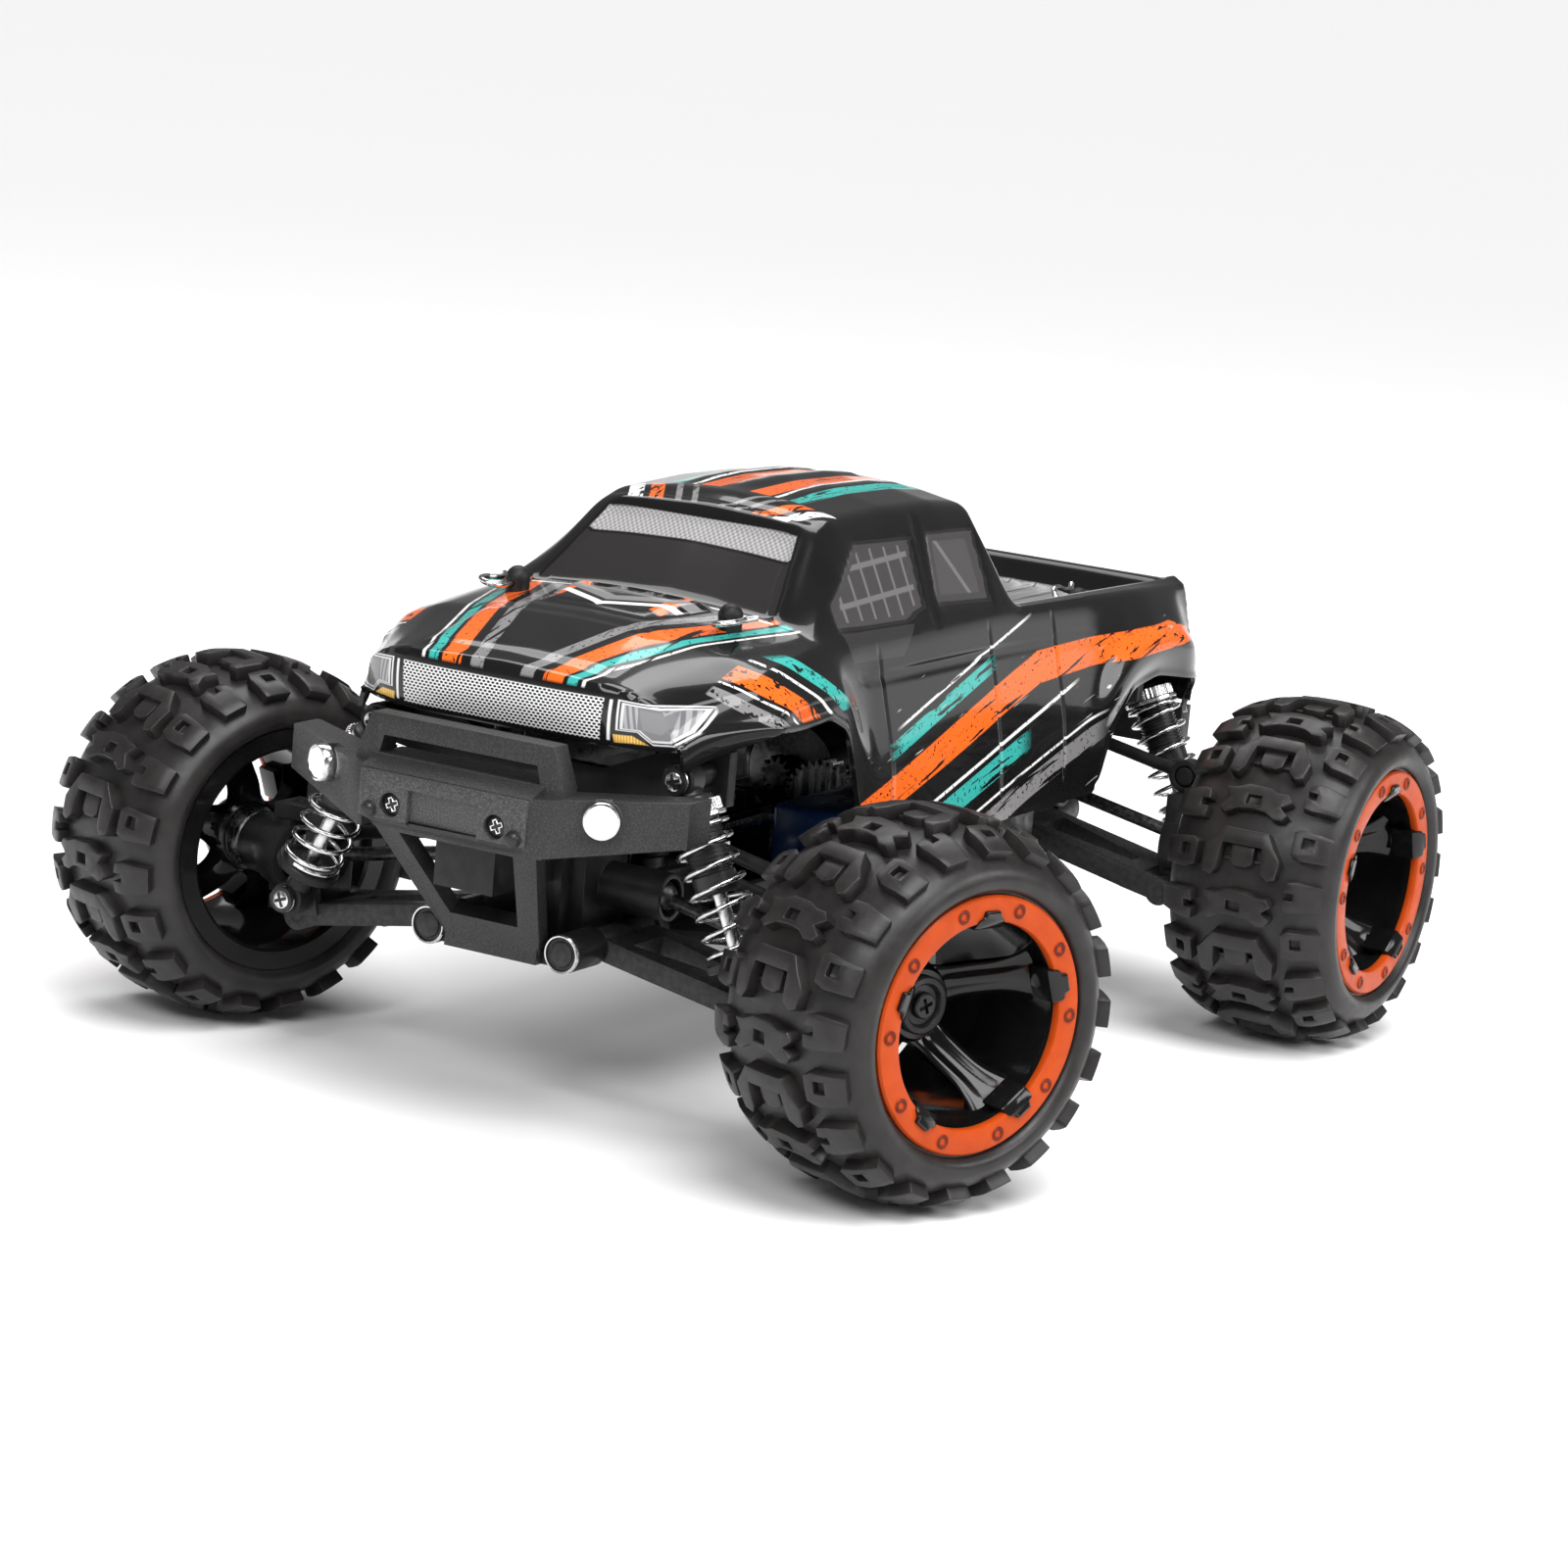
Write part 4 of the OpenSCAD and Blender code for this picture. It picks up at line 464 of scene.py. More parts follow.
AXLE = ((0, -25.9), (4.9, -25.9), (5.0, -25.6), (5.0, -18.2), (4.6, -17.9), (2.5, -17.9), (2.5, -9.8), (6.2, -9.8),
        (6.5, -9.4), (6.5, -5.5), (6.2, -5.2), (0, -5.2))
RING_FACE = 19.15
SPOKES = 5
RING_BOLTS = 10


def spoke_model():
    """One dished spoke with a groove down its face, along X."""
    rows, columns = 22, 9
    bpy.ops.object.select_all(action="DESELECT")
    bpy.ops.mesh.primitive_grid_add(x_subdivisions=rows, y_subdivisions=columns, size=2)
    spoke = bpy.context.active_object
    for vert in spoke.data.vertices:
        share = (vert.co.x + 1) / 2
        across = vert.co.y
        radius = 6.6 + share * 15.4
        half = 3.5 + 1.7 * (1 - min(share / 0.3, 1)) ** 2 + 3.4 * max(0, (share - 0.58) / 0.42) ** 2
        dish = -1.6 + 14.6 * share ** 1.35
        groove = 1.1 * (1 - min(1, abs(across) / 0.62) ** 2) * min(1, share / 0.2) * min(1, (1 - share) / 0.12 + 0.15)
        edge = 0.8 * max(0, abs(across) - 0.7) / 0.3
        vert.co = Vector((radius, half * across, dish - groove - edge)) * MM
    apply(spoke, "SOLIDIFY", thickness=3.4 * MM, offset=-1)
    soften(spoke, 0.5, 2, 50)
    return spoke


def tab_model():
    """Tab at the end of a spoke that laps over the ring's inner edge."""
    half = ((18.9, 3.6), (20.9, 3.3), (21.3, 2.1), (22.7, 1.9))
    tab = plate("tab", [(x, -y) for x, y in half] + list(half[::-1]), 12.5, 20.0)
    edit(tab)
    pick(tab, lambda p: p.x < 19.5 and p.z > 19)
    bpy.ops.transform.translate(value=(0, 0, -1.6 * MM))
    close()
    soften(tab, 0.45, 2)
    return tab


def rim_model():
    barrel = turned("barrel", RIM_BARREL, 96)
    hub = turned("hub", HUB, 48)
    spoke = spoke_model()
    tab = tab_model()
    pieces = [barrel, hub]
    for k in range(SPOKES):
        turn = Matrix.Rotation(math.radians(90 + 360 * k / SPOKES), 4, "Z")
        pieces.append(copy_of(spoke, "spoke", turn))
        pieces.append(copy_of(tab, "tab", turn))
    bpy.data.objects.remove(spoke)
    bpy.data.objects.remove(tab)
    rim = join(pieces, "rim_model")
    smooth(rim, 35)
    return rim


def cross_head(piece, radius, top, depth, width):
    """Cuts a cross recess into a screw head that faces up Z."""
    reach = radius * 0.72
    for turn in (0, 90):
        bar = block("bar", (-reach, -width / 2, top - depth), (reach, width / 2, top + 2))
        shift(bar, Matrix.Rotation(math.radians(turn + 20), 4, "Z"))
        cut(piece, bar)


def nut_model():
    nut = turned("nut_model", NUT, 48)
    cross_head(nut, 2.3, 3.4, 1.0, 0.75)
    smooth(nut, 35)
    return nut


def axle_model():
    axle = turned("axle_model", AXLE, 40)
    hollow = turned("hollow", ((0, -27), (3.9, -27), (3.9, -20.5), (3.0, -19.2), (0, -19.0)), 40)
    cut(axle, hollow)
    smooth(axle, 35)
    return axle


def ring_model():
    """Bead-lock ring with a raised mark for each bolt."""
    profile = ((20.5, 17.25), (25.3, 17.25), (25.6, 17.5), (25.6, 18.7), (25.2, 19.1), (24.9, RING_FACE),
               (21.0, RING_FACE), (20.6, 19.0), (20.4, 18.7), (20.4, 17.5), (20.5, 17.25))
    ring = turned("ring_model", profile, 120)
    low, shoulder, high = RING_FACE - 0.15, RING_FACE + 0.2, RING_FACE + 0.34
    mark = turned("mark", ((0.72, low), (1.42, low), (1.42, shoulder), (1.3, high), (0.86, high), (0.72, shoulder),
                           (0.72, low)), 20)
    pieces = [ring]
    for k in range(RING_BOLTS):
        turn = Matrix.Rotation(math.radians(360 / RING_BOLTS * k), 4, "Z") @ Matrix.Translation((23.1 * MM, 0, 0))
        pieces.append(copy_of(mark, "mark", turn))
    bpy.data.objects.remove(mark)
    ring = join(pieces, "ring_model")
    ring.data.materials.append(ring_orange)
    ring.data.materials.append(ring_mark)
    for face in ring.data.polygons:
        if face.center.z > (RING_FACE + 0.05) * MM:
            face.material_index = 1
    smooth(ring, 35)
    return ring


def wheel_place(sx, sy):
    """Matrix from the wheel's own frame, Z outboard and Y up, to its place on the truck."""
    out = Matrix.Rotation(STEER if sx > 0 else 0, 3, "Z") @ Vector((0, sy, 0))
    up = Vector((0, 0, 1))
    place = Matrix((up.cross(out), up, out)).transposed().to_4x4()
    place.translation = (Vector((sx * AXLE_X, sy * KINGPIN_Y, AXLE_Z)) + out * KINGPIN_OFFSET) * MM
    if sy < 0:
        place = place @ Matrix.Diagonal((-1, 1, 1, 1))
    return place


def wheels():
    models = (("tyre", tyre_model(), tyre_rubber, "tyre"), ("rim", rim_model(), rim_black, "rim"),
              ("beadlock_ring", ring_model(), None, "ring"))
    extras = (("wheel_nut", nut_model(), satin_black, "rim"), ("stub_axle", axle_model(), steel, "steel"))
    for corner, sx, sy in CORNERS:
        place = wheel_place(sx, sy)
        for part, model, finish, slot in models:
            node = part + "_" + corner
            put(copy_of(model, "look_" + node, place), "wheel_" + corner, slot, finish, node)
        for part, model, finish, slot in extras:
            put(copy_of(model, part + "_" + corner, place), "wheel_" + corner, slot, finish)
    for row in models + extras:
        bpy.data.objects.remove(row[1])


wheels()


# Body shell

NOSE_X = 115
TAIL_X = -116
# Outline of the shell's sections: places along the truck with half widths, or heights above the axle
LOW_Z = ((-116, 25), (-113.5, 26), (-109, 35), (-88, 38), (-74, 36), (-66, 26), (-61, 14), (44, 13), (51, 26), (58, 42),
         (66, 45.5), (88, 46), (103, 45), (109, 42), (115, 38))
LOW_Y = ((-116, 42), (-106, 47), (104, 47), (110, 40), (115, 36))
SIDE_Y = ((-116, 41.5), (-106, 48), (-20, 45.5), (58, 47), (88, 48.5), (103, 45), (109, 41), (115, 35))
BELT_Y = ((-116, 39), (-88, 41), (-24, 40.5), (61, 41), (88, 43), (103, 41), (115, 34))
BELT_Z = ((-116, 55), (-88, 57), (-24, 58.5), (61, 59), (88, 55.5), (103, 53.5), (115, 50))
UP_Y = ((-116, 36), (-28, 36.5), (-24, 34), (42, 34), (61, 37), (88, 35), (115, 29))
UP_Z = ((-116, 57), (-28, 58.5), (-24, 69.5), (42, 69), (61, 60.5), (88, 58.5), (115, 53))
TOP_Y = ((-116, 33), (-28, 33), (-24, 27), (42, 26), (61, 30), (88, 24), (115, 24))
TOP_Z = ((-112, 56), (-110, 51), (-28, 51), (-24, 79.5), (-8, 81), (12, 81.3), (36, 80.4), (42, 78.6), (61, 62),
         (88, 60), (115, 54))
MID_Y = ((-116, 16), (42, 14), (61, 16), (115, 15))
MID_Z = ((-112, 56), (-110, 50), (-28, 50), (-24, 81.6), (-8, 83), (12, 83.4), (35, 82.4), (42, 79.6), (61, 63),
         (88, 62), (115, 54.5))
CROWN_Z = ((-112, 56), (-110, 50), (-28, 50), (-24, 82.4), (-8, 83.9), (12, 84.3), (35, 83.2), (42, 80.2), (61, 63.5),
           (88, 62.5), (115, 55))
# Feet of the front and back faces, above the axle, and the rows of points down each face
FASCIA_LOW = 42
GATE_LOW = 28
END_ROWS = 14
# Windows as outlines of (place along the truck, height above the ground)
FRONT_WINDOW = ((30, 115), (7, 114.4), (12.5, 101), (22, 98.9), (51, 99.6), (49, 104.5))
REAR_WINDOW = ((-0.4, 114.7), (-21, 114), (-16.5, 99.7), (7.4, 100.9))
# Windscreen, bonnet scoop and its slots as outlines of (place along the truck, distance from the middle)
SCREEN = ((43.5, 23), (43.5, -23), (61.5, -29), (61.5, 29))
SCOOP = ((64, -17), (64, 17), (84, 12.5), (84, -12.5))
SCOOP_SLOTS = tuple(((66.2, middle - 3.3), (66.2, middle + 3.3), (69.6, middle + 3.1), (69.6, middle - 3.1))
                    for middle in (-8.2, 0, 8.2))
BONNET_PANEL = ((90, -22), (90, 22), (111, 23), (111, -23))
# Samples between the corners of a half section, from the lower edge to the crown
SECTION_STEPS = (14, 22, 7, 9, 11, 12)
CROWN = len(SECTION_STEPS)
# Places of the panel seams and how far to each side of one the sections stand close together
SEAMS = (-44, -14, 36)
SEAM_ROOM = 2.6


def lookup(table, x):
    """A table's value at a place, on a straight line between its points."""
    if x <= table[0][0]:
        return table[0][1]
    for (x0, v0), (x1, v1) in zip(table, table[1:]):
        if x <= x1:
            return v0 + (v1 - v0) * (x - x0) / (x1 - x0)
    return table[-1][1]


def eased(table, x, reach):
    """A table's value, averaged over a short stretch so that its corners turn softly."""
    steps = (-1, -0.66, -0.33, 0, 0.33, 0.66, 1)
    return sum(lookup(table, x + reach * step) for step in steps) / len(steps)


def step(value, low, high):
    """Smooth rise from 0 to 1 between two values."""
    share = min(1, max(0, (value - low) / (high - low)))
    return share * share * (3 - 2 * share)


def near_line(apart, inner, outer):
    """1 on a line and 0 away from it, by the distance from it."""
    return 1 - step(abs(apart), inner, outer)


def inward(outline):
    """Each edge of a convex outline as a point on it and the unit direction into the outline."""
    ahead = outline[1:] + outline[:1]
    way = 1 if sum(a[0] * b[1] - b[0] * a[1] for a, b in zip(outline, ahead)) > 0 else -1
    for (ax, ay), (bx, by) in zip(outline, ahead):
        length = math.hypot(bx - ax, by - ay)
        yield ax, ay, -way * (by - ay) / length, way * (bx - ax) / length


def inside(outline, x, y):
    """Distance into a convex outline, negative outside it."""
    return min(nx * (x - ax) + ny * (y - ay) for ax, ay, nx, ny in inward(outline))


def scaled(outline, middle, wide, high):
    """An outline drawn in or out about a middle."""
    return tuple((middle[0] + (u - middle[0]) * wide, middle[1] + (v - middle[1]) * high) for u, v in outline)


def half_section(x):
    """Corner points of the half section at a place, from the lower edge to the crown."""
    low = eased(LOW_Z, x, 2.2)
    belt = eased(BELT_Z, x, 5)
    return [(eased(LOW_Y, x, 4), low), (eased(SIDE_Y, x, 6), low + 0.4 * (belt - low)), (eased(BELT_Y, x, 5), belt),
            (eased(UP_Y, x, 1.6), eased(UP_Z, x, 1.6)), (eased(TOP_Y, x, 1.6), eased(TOP_Z, x, 1.6)),
            (eased(MID_Y, x, 4), eased(MID_Z, x, 1.8)), (0, eased(CROWN_Z, x, 1.8))]


def along_section(corners, t, reach):
    """Point at t corners along a section whose corners are rounded by averaging."""
    total_y = total_z = 0
    steps = (-1, -0.7, -0.4, 0, 0.4, 0.7, 1)
    spread = min(reach, t)
    for offset in steps:
        at = t + spread * offset
        flip = 1
        if at > CROWN:
            at = 2 * CROWN - at
            flip = -1
        k = min(int(at), CROWN - 1)
        (y0, z0), (y1, z1) = corners[k], corners[k + 1]
        total_y += flip * (y0 + (y1 - y0) * (at - k))
        total_z += z0 + (z1 - z0) * (at - k)
    return total_y / len(steps), total_z / len(steps)


def section_places():
    """Places along a half section, counted in corners."""
    places = []
    for k, count in enumerate(SECTION_STEPS):
        places += [k + i / count for i in range(count)]
    return places + [CROWN]


def length_places():
    """Places along the truck, close together where the shell turns sharply."""
    spans = ((TAIL_X, -108, 12), (-108, -76, 26), (-76, -58, 18), (-58, -30, 22), (-30, -22, 14), (-22, 38, 46),
             (38, 66, 30), (66, 100, 28), (100, NOSE_X, 16))
    places = []
    for low, high, count in spans:
        places += [low + (high - low) * i / count for i in range(count)]
    places = [x for x in places if all(abs(x - seam) > SEAM_ROOM for seam in SEAMS)]
    for seam in SEAMS:
        places += [seam + SEAM_ROOM * (i / 8 - 1) for i in range(17)]
    return sorted(places) + [NOSE_X]


def plan_bow(x, y):
    """How far the nose is drawn back at a half width, seen from above."""
    return 12.5 * (abs(y) / 41.5) ** 4.5 * step(x, 82, NOSE_X)


def features(x, y, z, t):
    """How far the moulded features stand out of the skin at a place; t counts the section's corners up to it."""
    rise = 0
    side = abs(y)
    # Side windows and the pillar between them
    if 1.7 < t < 4.6 and -26 < x < 66:
        for window in (FRONT_WINDOW, REAR_WINDOW):
            rise -= 0.9 * step(inside(window, x, z), -0.5, 0.9)
        rise -= 0.6 * near_line(x - (2.6 + (117.5 - z) * 0.463), 0.2, 1.3) * step(z, 97, 99) * (1 - step(z, 117, 119))
    # Windscreen and the visor's lip
    if t > 3.4 and 38 < x < 68:
        rise -= 0.8 * step(inside(SCREEN, x, y), -0.4, 1.0)
        rise += 0.8 * near_line(x - 41.6, 0.6, 2.4) * (1 - step(side, 20, 25))
    # Scoop with its slots, and the raised panel in front of it
    if t > 3.4 and 58 < x < 92:
        rise += 1.9 * step(inside(SCOOP, x, y), -0.6, 2.6) * (1 - 0.55 * step(x, 70, 85))
        for slot in SCOOP_SLOTS:
            rise -= 1.5 * step(inside(slot, x, y), -0.2, 0.9)
    if t > 3.6 and 88 < x < 113:
        rise += 0.5 * step(inside(BONNET_PANEL, x, y), 0, 2.5)
    # Ridges along the roof
    if t > 4.2 and -22 < x < 36:
        for ridge in (0, 11.5):
            rise += 0.55 * near_line(side - ridge, 1.4, 3.0) * step(x, -21, -17) * (1 - step(x, 20, 30))
    # Grooves between the bed's planks, and its rails
    if t > 4 and -109 < x < -29:
        rise -= 0.5 * near_line((side + 3.4) % 6.8 - 3.4, 0.25, 0.75)
        rise += 0.8 * step(side, 28.5, 30.0) * (1 - step(side, 32.5, 34))
    # Arch lips, the lower edge, the crease along the flank and the panel seams
    if t < 2:
        for middle, reach in ((AXLE_X, 31), (-AXLE_X, 30)):
            near = math.hypot(x - middle, (z - AXLE_Z - 16) * 1.05)
            rise += 1.5 * near_line(near - reach, 0.5, 7.5) * step(z, 66, 74)
        rise += 0.5 * (1 - step(z - lookup(LOW_Z, x) - AXLE_Z, 0.3, 1.8))
        rise -= 0.45 * near_line(z - 88.5 - (x + 20) * 0.02, 0.15, 0.9) * (1 - step(x, 44, 54)) * step(x, -64, -58)
        for seam in SEAMS:
            rise -= 0.4 * near_line(x - seam - (z - 75) * 0.08, 0.2, 0.7) * step(z, 57, 60) * (1 - step(z, 92, 96))
    return rise


def shell_points():
    """Rows of skin points from the tailgate's foot over the truck to the grille's foot."""
    places = section_places()
    half = [(t, 1) for t in places] + [(t, -1) for t in reversed(places[:-1])]
    rows = []
    for x in length_places():
        corners = half_section(x)
        row = []
        for t, flip in half:
            y, z = along_section(corners, t, 0.16)
            row.append([x - plan_bow(x, y), flip * y, z + AXLE_Z, t])
        rows.append(row)
    return rows


def with_features(rows):
    """The skin's points, moved along its normals by the moulded features."""
    out = []
    last = len(rows) - 1
    for i, row in enumerate(rows):
        moved = []
        wide = len(row) - 1
        for j, (x, y, z, t) in enumerate(row):
            ahead, behind = Vector(rows[min(i + 1, last)][j][:3]), Vector(rows[max(i - 1, 0)][j][:3])
            left, right = Vector(row[min(j + 1, wide)][:3]), Vector(row[max(j - 1, 0)][:3])
            normal = (ahead - behind).cross(right - left).normalized()
            if normal.dot(Vector((0, y, z - 60))) < 0:
                normal = -normal
            moved.append(Vector((x, y, z)) + normal * features(x, y, z, t))
        out.append(moved)
    return out


def lowered(row, level, push):
    """A row with everything above a level brought down to it, for the front and back faces."""
    return [Vector((p.x + (push if p.z > level else 0), p.y, min(p.z, level))) for p in row]


def end_face(row, foot, bulge):
    """Rows from a section's crest down to its foot, bulged between them."""
    crest = max(p.z for p in row)
    return [lowered(row, crest + (foot - crest) * k / END_ROWS, bulge * math.sin(math.pi * k / END_ROWS) ** 0.5)
            for k in range(1, END_ROWS + 1)]


def shell_model():
    rows = with_features(shell_points())
    front = end_face(rows[-1], AXLE_Z + FASCIA_LOW, 1.4)
    back = end_face(rows[0], AXLE_Z + GATE_LOW, -0.8)
    rows = back[::-1] + rows + front
    deep, wide = len(rows), len(rows[0])
    bpy.ops.object.select_all(action="DESELECT")
    bpy.ops.mesh.primitive_grid_add(x_subdivisions=deep - 1, y_subdivisions=wide - 1, size=2)
    shell = bpy.context.active_object
    for vert in shell.data.vertices:
        i = round((vert.co.x + 1) / 2 * (deep - 1))
        j = round((vert.co.y + 1) / 2 * (wide - 1))
        vert.co = rows[i][j] * MM
    edit(shell)
    bpy.ops.mesh.remove_doubles(threshold=0.01 * MM)
    bpy.ops.mesh.select_all(action="SELECT")
    bpy.ops.mesh.normals_make_consistent(inside=False)
    close()
    top_face = max(shell.data.polygons, key=lambda face: face.center.z)
    if top_face.normal.z < 0:
        shell.data.flip_normals()
    shell.data.materials.append(shell_paint())
    shell.data.materials.append(satin_black)
    apply(shell, "SOLIDIFY", thickness=1.0 * MM, offset=-1, material_offset=1)
    smooth(shell, 50)
    return shell


# Paint of the shell, placed by distance along the truck, out from its middle and up, in mm

PAINT_ORANGE = (0.82, 0.125, 0.012)
PAINT_TEAL = (0.035, 0.36, 0.32)
PAINT_WHITE = (0.82, 0.82, 0.81)
PAINT_GREY = (0.2, 0.195, 0.195)
PAINT_BLACK = (0.006, 0.0057, 0.0057)
SCRATCH_GREY = (0.42, 0.42, 0.42)
GLASS_BLACK = (0.021, 0.0195, 0.0195)
LINE_BLACK = (0.008, 0.008, 0.008)
SEAM_BLACK = (0.004, 0.004, 0.004)
# Near-black for the scoop's slots: painted shade in their recesses
SLOT_SHADE_BLACK = (0.002, 0.002, 0.002)
# How fine the scratches are along the truck, across it and up
SIDE_SCRATCH = (45, 700, 700)
TOP_SCRATCH = (45, 700, 45)
VISOR_SCRATCH = (200, 700, 45)
# Lamps as outlines of (distance from the middle, height above the ground), and the middles they shrink about
HEADLAMP = (((26.5, 90.7), (40.2, 89.6), (39.2, 84.6), (26.4, 84.6)),
            ((30.4, 84.7), (39.2, 84.7), (36.8, 82.2), (33.2, 82.2)))
HEADLAMP_MIDDLE = (32.5, 86.8)
TAIL_LAMP = ((32.6, 87.2), (39.4, 86.4), (39.8, 74.6), (33.4, 73.6))
TAIL_LAMP_MIDDLE = (36.2, 80.4)


class Paint(Finish):
    """A finish built up in layers, each through a mask."""

    def __init__(self, name, colour, rough):
        super().__init__(name, colour, rough)
        in_mm = self.node("ShaderNodeVectorMath", {0: self.place, 1: (1000, 1000, 1000)}, operation="MULTIPLY")
        split = self.node("ShaderNodeSeparateXYZ", {0: in_mm.outputs[0]})
        self.x, self.y, self.z = split.outputs
        self.side = self.math("ABSOLUTE", self.y)
        self.colour = self.blend(self.spread(self.noise(60.0, 3.0), 0.4, 0.7), colour, tuple(c * 1.3 for c in colour))
        self.gloss = self.spread(self.noise(110.0, 2.0), 0.3, 0.7, rough - 0.02, rough + 0.03)

    def region(self, outline, u, v, soft=0.12):
        """Mask of a convex outline in two of the distances."""
        depth = None
        for au, av, nu, nv in inward(outline):
            edge = self.math("MULTIPLY_ADD", u, nu, self.math("MULTIPLY_ADD", v, nv, -nu * au - nv * av))
            depth = edge if depth is None else self.math("MINIMUM", depth, edge)
        return self.spread(depth, -soft, soft)

    def band(self, value, low, high, soft=0.12):
        """Mask between two values."""
        over, under = self.spread(value, low - soft, low + soft), self.spread(value, high + soft, high - soft)
        return self.math("MULTIPLY", over, under)

    def slanted(self, value, other, slope, offset=0.0):
        """A distance that leans with another one."""
        return self.math("MULTIPLY_ADD", other, slope, self.math("ADD", value, offset))

    def both(self, *masks):
        share = masks[0]
        for mask in masks[1:]:
            share = self.math("MULTIPLY", share, mask)
        return share

    def either(self, *masks):
        share = masks[0]
        for mask in masks[1:]:
            share = self.math("MAXIMUM", share, mask)
        return share

    def without(self, mask, hole):
        return self.both(mask, self.math("SUBTRACT", 1.0, hole))

    def layer(self, mask, colour, rough=None):
        """Lays a colour, and a roughness if one is given, over what is there."""
        self.colour = self.blend(mask, self.colour, colour)
        if rough is not None:
            mixed = self.node("ShaderNodeMix", {0: mask, 2: self.gloss, 3: rough}, data_type="FLOAT")
            self.gloss = mixed.outputs[0]

    def streaks(self, turn, spread, low, high):
        """Long broken streaks along a direction in the side view."""
        spun = self.node("ShaderNodeMapping", {"Vector": self.place, "Rotation": (0, math.radians(turn), 0),
                                               "Scale": tuple(1 / s for s in spread)}, vector_type="TEXTURE")
        noise = self.node("ShaderNodeTexNoise", {"Vector": spun.outputs[0], "Scale": 1.0, "Detail": 3.0})
        return self.spread(noise.outputs["Fac"], low, high)

    def worn(self, mask, turn=0.0, spread=SIDE_SCRATCH):
        """A mask with scratched edges and small specks left out."""
        scratch = self.streaks(turn, spread, 0.63, 0.6)
        speck = self.spread(self.noise(1300.0, 1.5), 0.67, 0.64)
        return self.both(mask, scratch, speck)

    def stripes(self, area, value, rows, turn=0.0, spread=SIDE_SCRATCH):
        """Worn stripes inside an area, as rows of (from, to, colour) along a distance."""
        for low, high, colour in rows:
            self.layer(self.worn(self.both(area, self.band(value, low, high)), turn, spread), colour)

    def nested(self, area, outlines, middle, rows):
        """Shrinking outlines inside an area, as rows of (scale, colour). Returns the last one's mask."""
        for scale, colour in rows:
            shrunk = [scaled(outline, middle, scale, scale) for outline in outlines]
            mask = self.both(area, self.either(*(self.region(shape, self.side, self.z, 0.08) for shape in shrunk)))
            self.layer(mask, colour, 0.2)
        return mask

    def done(self):
        self.set("Base Color", self.colour)
        self.set("Roughness", self.gloss)
        self.set("Specular IOR Level", 0.12)
        self.set("Coat Weight", 0.6)
        self.set("Coat Roughness", 0.05)
        self.bump(self.noise(420.0, 2.0), 0.03, 0.1)
        return self.material


def paint_flank(paint, flank):
    """A broad kinked stripe, thinner ones beside it and long scratches."""
    x, z = paint.x, paint.z
    rise = 0.27
    slant = math.degrees(math.atan(rise))
    track = paint.slanted(z, x, rise)
    lower = paint.both(paint.band(track, 71.2, 78.2), paint.band(x, -34, 58))
    upper = paint.region(((-33.8, 80.4), (-33.8, 87.4), (-96, 88.6), (-114, 84.4)), x, z)
    paint.layer(paint.worn(paint.both(flank, paint.either(lower, upper)), slant), PAINT_ORANGE)
    door = paint.both(flank, paint.band(x, -66, 56))
    for low, high, back, front, colour in ((58.5, 63.5, -26, 44, PAINT_TEAL), (81.5, 85.0, -12, 34, PAINT_TEAL),
                                           (64.8, 65.6, -50, 50, PAINT_WHITE), (86.4, 87.0, -30, 30, PAINT_WHITE),
                                           (48.0, 53.0, -62, -8, PAINT_GREY), (54.6, 55.2, -60, 20, PAINT_WHITE)):
        band = paint.both(door, paint.band(track, low, high), paint.band(x, back, front, 3.0))
        paint.layer(paint.worn(band, slant), colour)
    scratches = paint.streaks(slant, (16, 900, 900), 0.68, 0.72)
    paint.layer(paint.both(flank, scratches, paint.band(x, -108, 54), paint.spread(z, 90, 88)), SCRATCH_GREY)


def paint_fender(paint, flank):
    """A slanted flash with a thin white edge."""
    x, z = paint.x, paint.z
    fender = paint.both(flank, paint.spread(x, 58, 60), paint.spread(z, 85.5, 86))
    rows = ((-66, -57, PAINT_ORANGE), (-55.5, -54.6, PAINT_WHITE), (-52, -47, PAINT_GREY), (-82, -76, PAINT_TEAL),
            (-72, -70.6, PAINT_WHITE))
    paint.stripes(fender, paint.slanted(x, z, -1.6), rows, -58)


def paint_bonnet(paint):
    """Wedges that open toward the windscreen, and a marked scoop."""
    x, side, y, z = paint.x, paint.side, paint.y, paint.z
    bonnet = paint.both(paint.spread(z, 91.8, 92.4), paint.spread(x, 60.5, 61.5))
    rows = ((44.5, 49.0, PAINT_ORANGE), (50.0, 52.2, PAINT_TEAL), (53.2, 53.9, PAINT_WHITE), (39.2, 42.2, PAINT_GREY))
    paint.stripes(paint.both(bonnet, paint.spread(side, 38, 37)), paint.slanted(side, x, 0.3), rows, 0, TOP_SCRATCH)
    scoop = paint.both(bonnet, paint.region(SCOOP, x, y, 0.3))
    chevron = paint.slanted(x, side, 0.5)
    paint.layer(scoop, PAINT_BLACK)
    paint.layer(paint.both(scoop, paint.band(side, 10.6, 13.4), paint.spread(x, 80, 79)), PAINT_ORANGE)
    paint.layer(paint.both(scoop, paint.band(chevron, 80.5, 82.5)), PAINT_WHITE)
    paint.layer(paint.both(scoop, paint.band(chevron, 75.5, 79)), PAINT_GREY)
    # The slots are painted near-black and matte: painted shade in their recesses
    for slot in SCOOP_SLOTS:
        paint.layer(paint.both(bonnet, paint.region(slot, x, y)), SLOT_SHADE_BLACK, 0.5)


